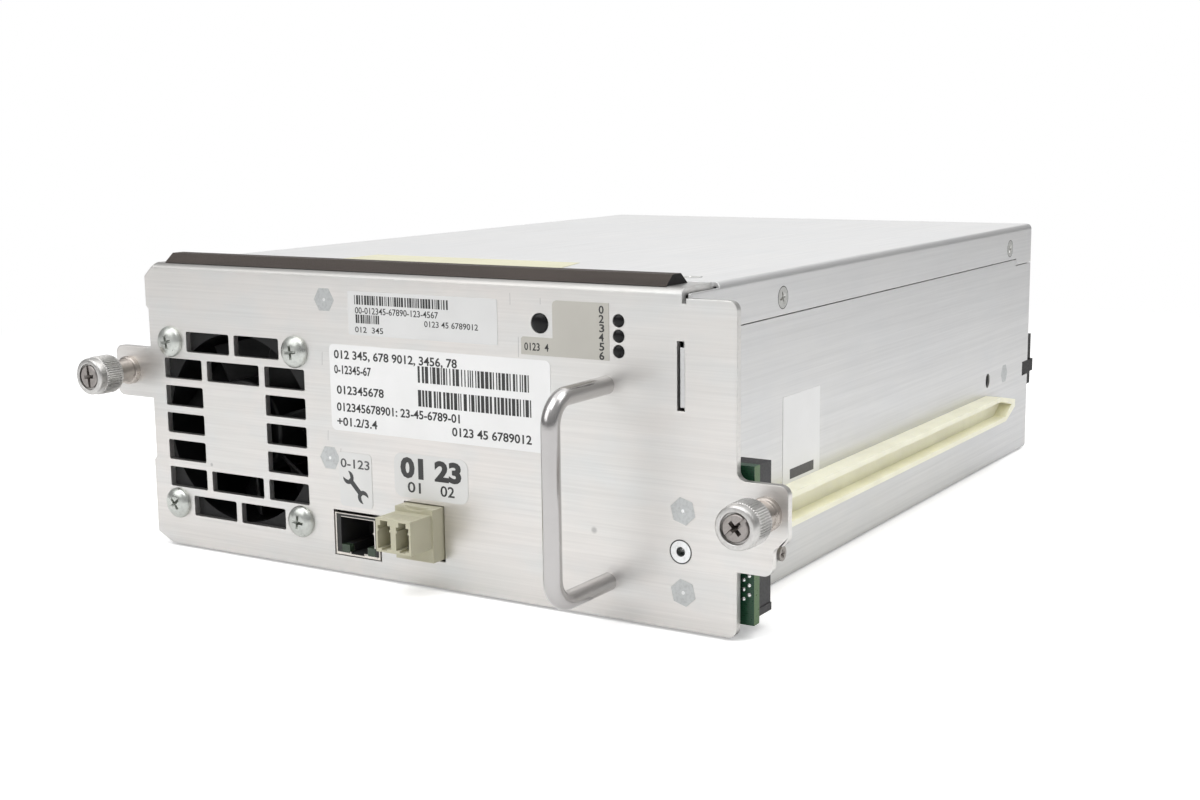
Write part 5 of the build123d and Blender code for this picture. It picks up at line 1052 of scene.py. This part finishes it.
def adapterScoop(work):
    look = adapterLook
    half, sag, steps = look["scoopHalf"], look["scoopSag"], look["scoopSteps"]
    lift = look["flange"][3] + look["scoopRise"]
    front = panelFace / mm - look["flangeReach"]
    turns = [math.pi * (1 + i / steps) for i in range(steps + 1)]
    outline = [(half * math.cos(t), lift + sag * math.sin(t)) for t in turns]
    prismY(work, outline, front - 1.0, front + look["scoopDeep"], look["centre"])


showCut("optical_adapter_body", adapterBody, [("UNION", adapterFlange), ("DIFFERENCE", adapterPorts),
                                              ("DIFFERENCE", adapterGrooves), ("DIFFERENCE", adapterScoop)],
        "adapterPlastic", "optical_adapter", smooth=30)

# Plated shield of the jack, flush in the panel: plug opening, wider foot for the lights, latch notch
jackLook = {"outer": (-8.1, 8.1, 5.7, 18.0), "wall": 0.5, "deep": 15.8, "through": 30.0, "shift": -0.2,
            "opening": ((-6.3, 8.6), (-6.3, 12.7), (-5.8, 13.2), (-6.3, 13.7), (-6.3, 16.9), (6.3, 16.9),
                        (6.3, 13.7), (5.8, 13.2), (6.3, 12.7), (6.3, 8.6), (7.3, 8.6), (7.3, 6.8),
                        (2.4, 6.8), (2.4, 6.2), (-2.4, 6.2), (-2.4, 6.8), (-7.3, 6.8), (-7.3, 8.6))}
shieldLow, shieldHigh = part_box("jack_shield")
jackMiddle = (shieldLow.x + shieldHigh.x) / 2 / mm


def shieldBlock(work):
    face = panelFace / mm
    prismY(work, box(*jackLook["outer"]), face, face + jackLook["deep"], jackMiddle)


def shieldInside(work):
    u0, u1, v0, v1 = jackLook["outer"]
    face, wall = panelFace / mm, jackLook["wall"]
    prismY(work, box(u0 + wall, u1 - wall, v0 + wall, v1 - wall), face + wall, face + jackLook["through"],
           jackMiddle)


def shieldOpening(work):
    face = panelFace / mm
    prismY(work, jackLook["opening"], face - 1.0, face + 1.0, jackMiddle + jackLook["shift"])


showCut("network_jack_shield", shieldBlock, [("DIFFERENCE", shieldInside), ("DIFFERENCE", shieldOpening)],
        "jackNickel", "jack_shield", smooth=30)
print("adapter and jack made")

# ---- small round forms ----
# Solder joints of the connector, on the front of its board beside the panel's edge; every second
# column sits half a pitch lower. Domes are radius, rise, steps and corners round, lenses too
solderLook = {"columns": (107.55, 106.0, 104.45, 102.9, 101.35), "first": 11.2, "pitch": 2.45, "rows": 11,
              "dome": (0.6, 0.5, 3, 12)}
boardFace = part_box("connector_board")[0].y


def solderDomes(work):
    look = solderLook
    for column, x in enumerate(look["columns"]):
        for row in range(look["rows"]):
            z = look["first"] + look["pitch"] * (row - 0.5 * (column % 2))
            dome(work, (x * mm, boardFace, z * mm), *look["dome"])


showPiece("solder_joints", meshFrom("solder_joints", solderDomes), "solderTin", smooth=60)

# Domed faces of the lights
lensLook = {"port": (2.5, 0.6, 6, 36), "portPlace": (2.55, 76.5), "status": (1.5, 0.4, 5, 28),
            "statusIn": 1.55, "statusPitch": 3.9}
pipeLow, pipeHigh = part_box("light_pipes")


def lensDomes(work):
    look = lensLook
    across, height = look["portPlace"]
    middle = (pipeLow.z + pipeHigh.z) / 2
    for step in (-1, 0, 1):
        place = (pipeHigh.x - look["statusIn"] * mm, panelFace, middle + look["statusPitch"] * mm * step)
        dome(work, place, *look["status"])
    dome(work, (pipeLow.x + across * mm, panelFace, height * mm), *look["port"])


showPiece("light_lenses", meshFrom("light_lenses", lensDomes), "darkLens",
          smooth=60)
print("solder and lenses on")

# ---- stage, lights and camera ----
stageLook = {"floorColor": (0.93, 0.93, 0.93), "floorSize": 30.0, "gap": 0.0002, "rough": 0.9, "shine": 0.1,
             "lift": 0.34, "whiteFrom": 0.26, "whiteAt": 0.62, "world": (0.25, 0.55), "ceiling": 0.7}
lampLooks = {
    "keyPanel": {"place": (-0.9, -1.5, 1.1), "aim": (0, -0.1, 0.04), "size": (1.4, 1.2), "power": 10},
    "topWash": {"place": (0.1, 0.2, 1.4), "aim": (0, 0, 0), "size": (1.6, 1.6), "power": 8},
    "backCard": {"place": (-1.5, 2.5, 0.75), "aim": (0, 0, 0.08), "size": (2.6, 1.1), "power": 8},
    "frontPool": {"place": (0.0, -0.42, 0.62), "aim": (0.05, -0.24, 0), "size": (0.6, 0.3), "power": 1.4},
    "sidePool": {"place": (0.42, 0.05, 0.62), "aim": (0.2, 0.0, 0), "size": (0.3, 0.6), "power": 1.3},
}


# The camera sees the lit paper near the object and plain white beyond it, the shadow stays
def buildFloor(look):
    bpy.ops.mesh.primitive_plane_add(size=look["floorSize"], location=(0, 0, 0))
    floor = bpy.context.object
    floor.name = "studioFloor"
    floor.location.z = lowStart.z - look["gap"]
    make, sockets = newFinish("floorPaper")
    sockets["Base Color"].default_value = (*look["floorColor"], 1.0)
    sockets["Roughness"].default_value = look["rough"]
    sockets["Specular IOR Level"].default_value = look["shine"]
    paper = make.nodes["Principled BSDF"].outputs["BSDF"]
    lift = make.add("ShaderNodeEmission", "Emission", {"Strength": look["lift"]})
    lifted = make.add("ShaderNodeAddShader", "Shader", {0: paper, 1: lift})
    white = make.add("ShaderNodeEmission", "Emission")
    away = make.add("ShaderNodeVectorMath", "Value", {0: make.coords()}, operation="LENGTH")
    fade = make.remap(away, look["whiteFrom"], look["whiteAt"], 0, 1)
    seen = make.add("ShaderNodeMixShader", "Shader", {"Fac": fade, 1: lifted, 2: white})
    cameraRay = make.add("ShaderNodeLightPath", "Is Camera Ray")
    surface = make.add("ShaderNodeMixShader", "Shader", {"Fac": cameraRay, 1: paper, 2: seen})
    make.feed(make.nodes["Material Output"].inputs["Surface"], surface)
    floor.data.materials.append(make.owner)


# Dim walls low down and a bright ceiling give the sheets their soft gradients, the camera sees white
def buildWorld(look):
    world = bpy.data.worlds.new("studioWorld")
    bpy.context.scene.world = world
    make = NodeBuilder(world)
    light = make.nodes["Background"]
    light.inputs["Color"].default_value = (1, 1, 1, 1)
    direction = make.add("ShaderNodeTexCoord", "Generated")
    height = make.add("ShaderNodeSeparateXYZ", "Z", {"Vector": direction})
    make.feed(light.inputs["Strength"], make.remap(height, 0.0, look["ceiling"], *look["world"]))
    seen = make.add("ShaderNodeBackground", "Background", {"Color": (1, 1, 1), "Strength": 1.0})
    cameraRay = make.add("ShaderNodeLightPath", "Is Camera Ray")
    surface = make.add("ShaderNodeMixShader", "Shader",
                       {"Fac": cameraRay, 1: light.outputs["Background"], 2: seen})
    make.feed(make.nodes["World Output"].inputs["Surface"], surface)


def buildLamps(looks):
    for name, look in looks.items():
        data = bpy.data.lights.new(name, "AREA")
        data.shape = "RECTANGLE"
        data.size, data.size_y = look["size"]
        data.energy = look["power"]
        lamp = bpy.data.objects.new(name, data)
        bpy.context.scene.collection.objects.link(lamp)
        lamp.visible_camera = False
        lamp.location = look["place"]
        aim = Vector(look["aim"]) - Vector(look["place"])
        lamp.rotation_euler = aim.to_track_quat("-Z", "Y").to_euler()


cameraLook = {"place": (0.28457, -0.48627, 0.12735), "azimuth": 31.91, "elevation": 9.59, "roll": -0.68,
              "lens": 49.1, "sensor": 36.0}


def buildCamera(look):
    data = bpy.data.cameras.new("studioCamera")
    data.lens = look["lens"]
    data.sensor_width = look["sensor"]
    camera = bpy.data.objects.new("studioCamera", data)
    bpy.context.scene.collection.objects.link(camera)
    azimuth, elevation, roll = (math.radians(look[key]) for key in ("azimuth", "elevation", "roll"))
    backward = Vector((math.sin(azimuth) * math.cos(elevation), -math.cos(azimuth) * math.cos(elevation),
                       math.sin(elevation)))
    right = (-backward).cross(Vector((0, 0, 1))).normalized()
    up = backward.cross(right)
    turnedRight = math.cos(roll) * right + math.sin(roll) * up
    turnedUp = -math.sin(roll) * right + math.cos(roll) * up
    rotation = Matrix((turnedRight, turnedUp, backward)).transposed()
    camera.matrix_world = Matrix.Translation(look["place"]) @ rotation.to_4x4()
    bpy.context.scene.camera = camera


buildFloor(stageLook)
buildWorld(stageLook)
buildLamps(lampLooks)
buildCamera(cameraLook)
bpy.context.scene.view_settings.view_transform = "Standard"
print("stage, lamps and camera ready")
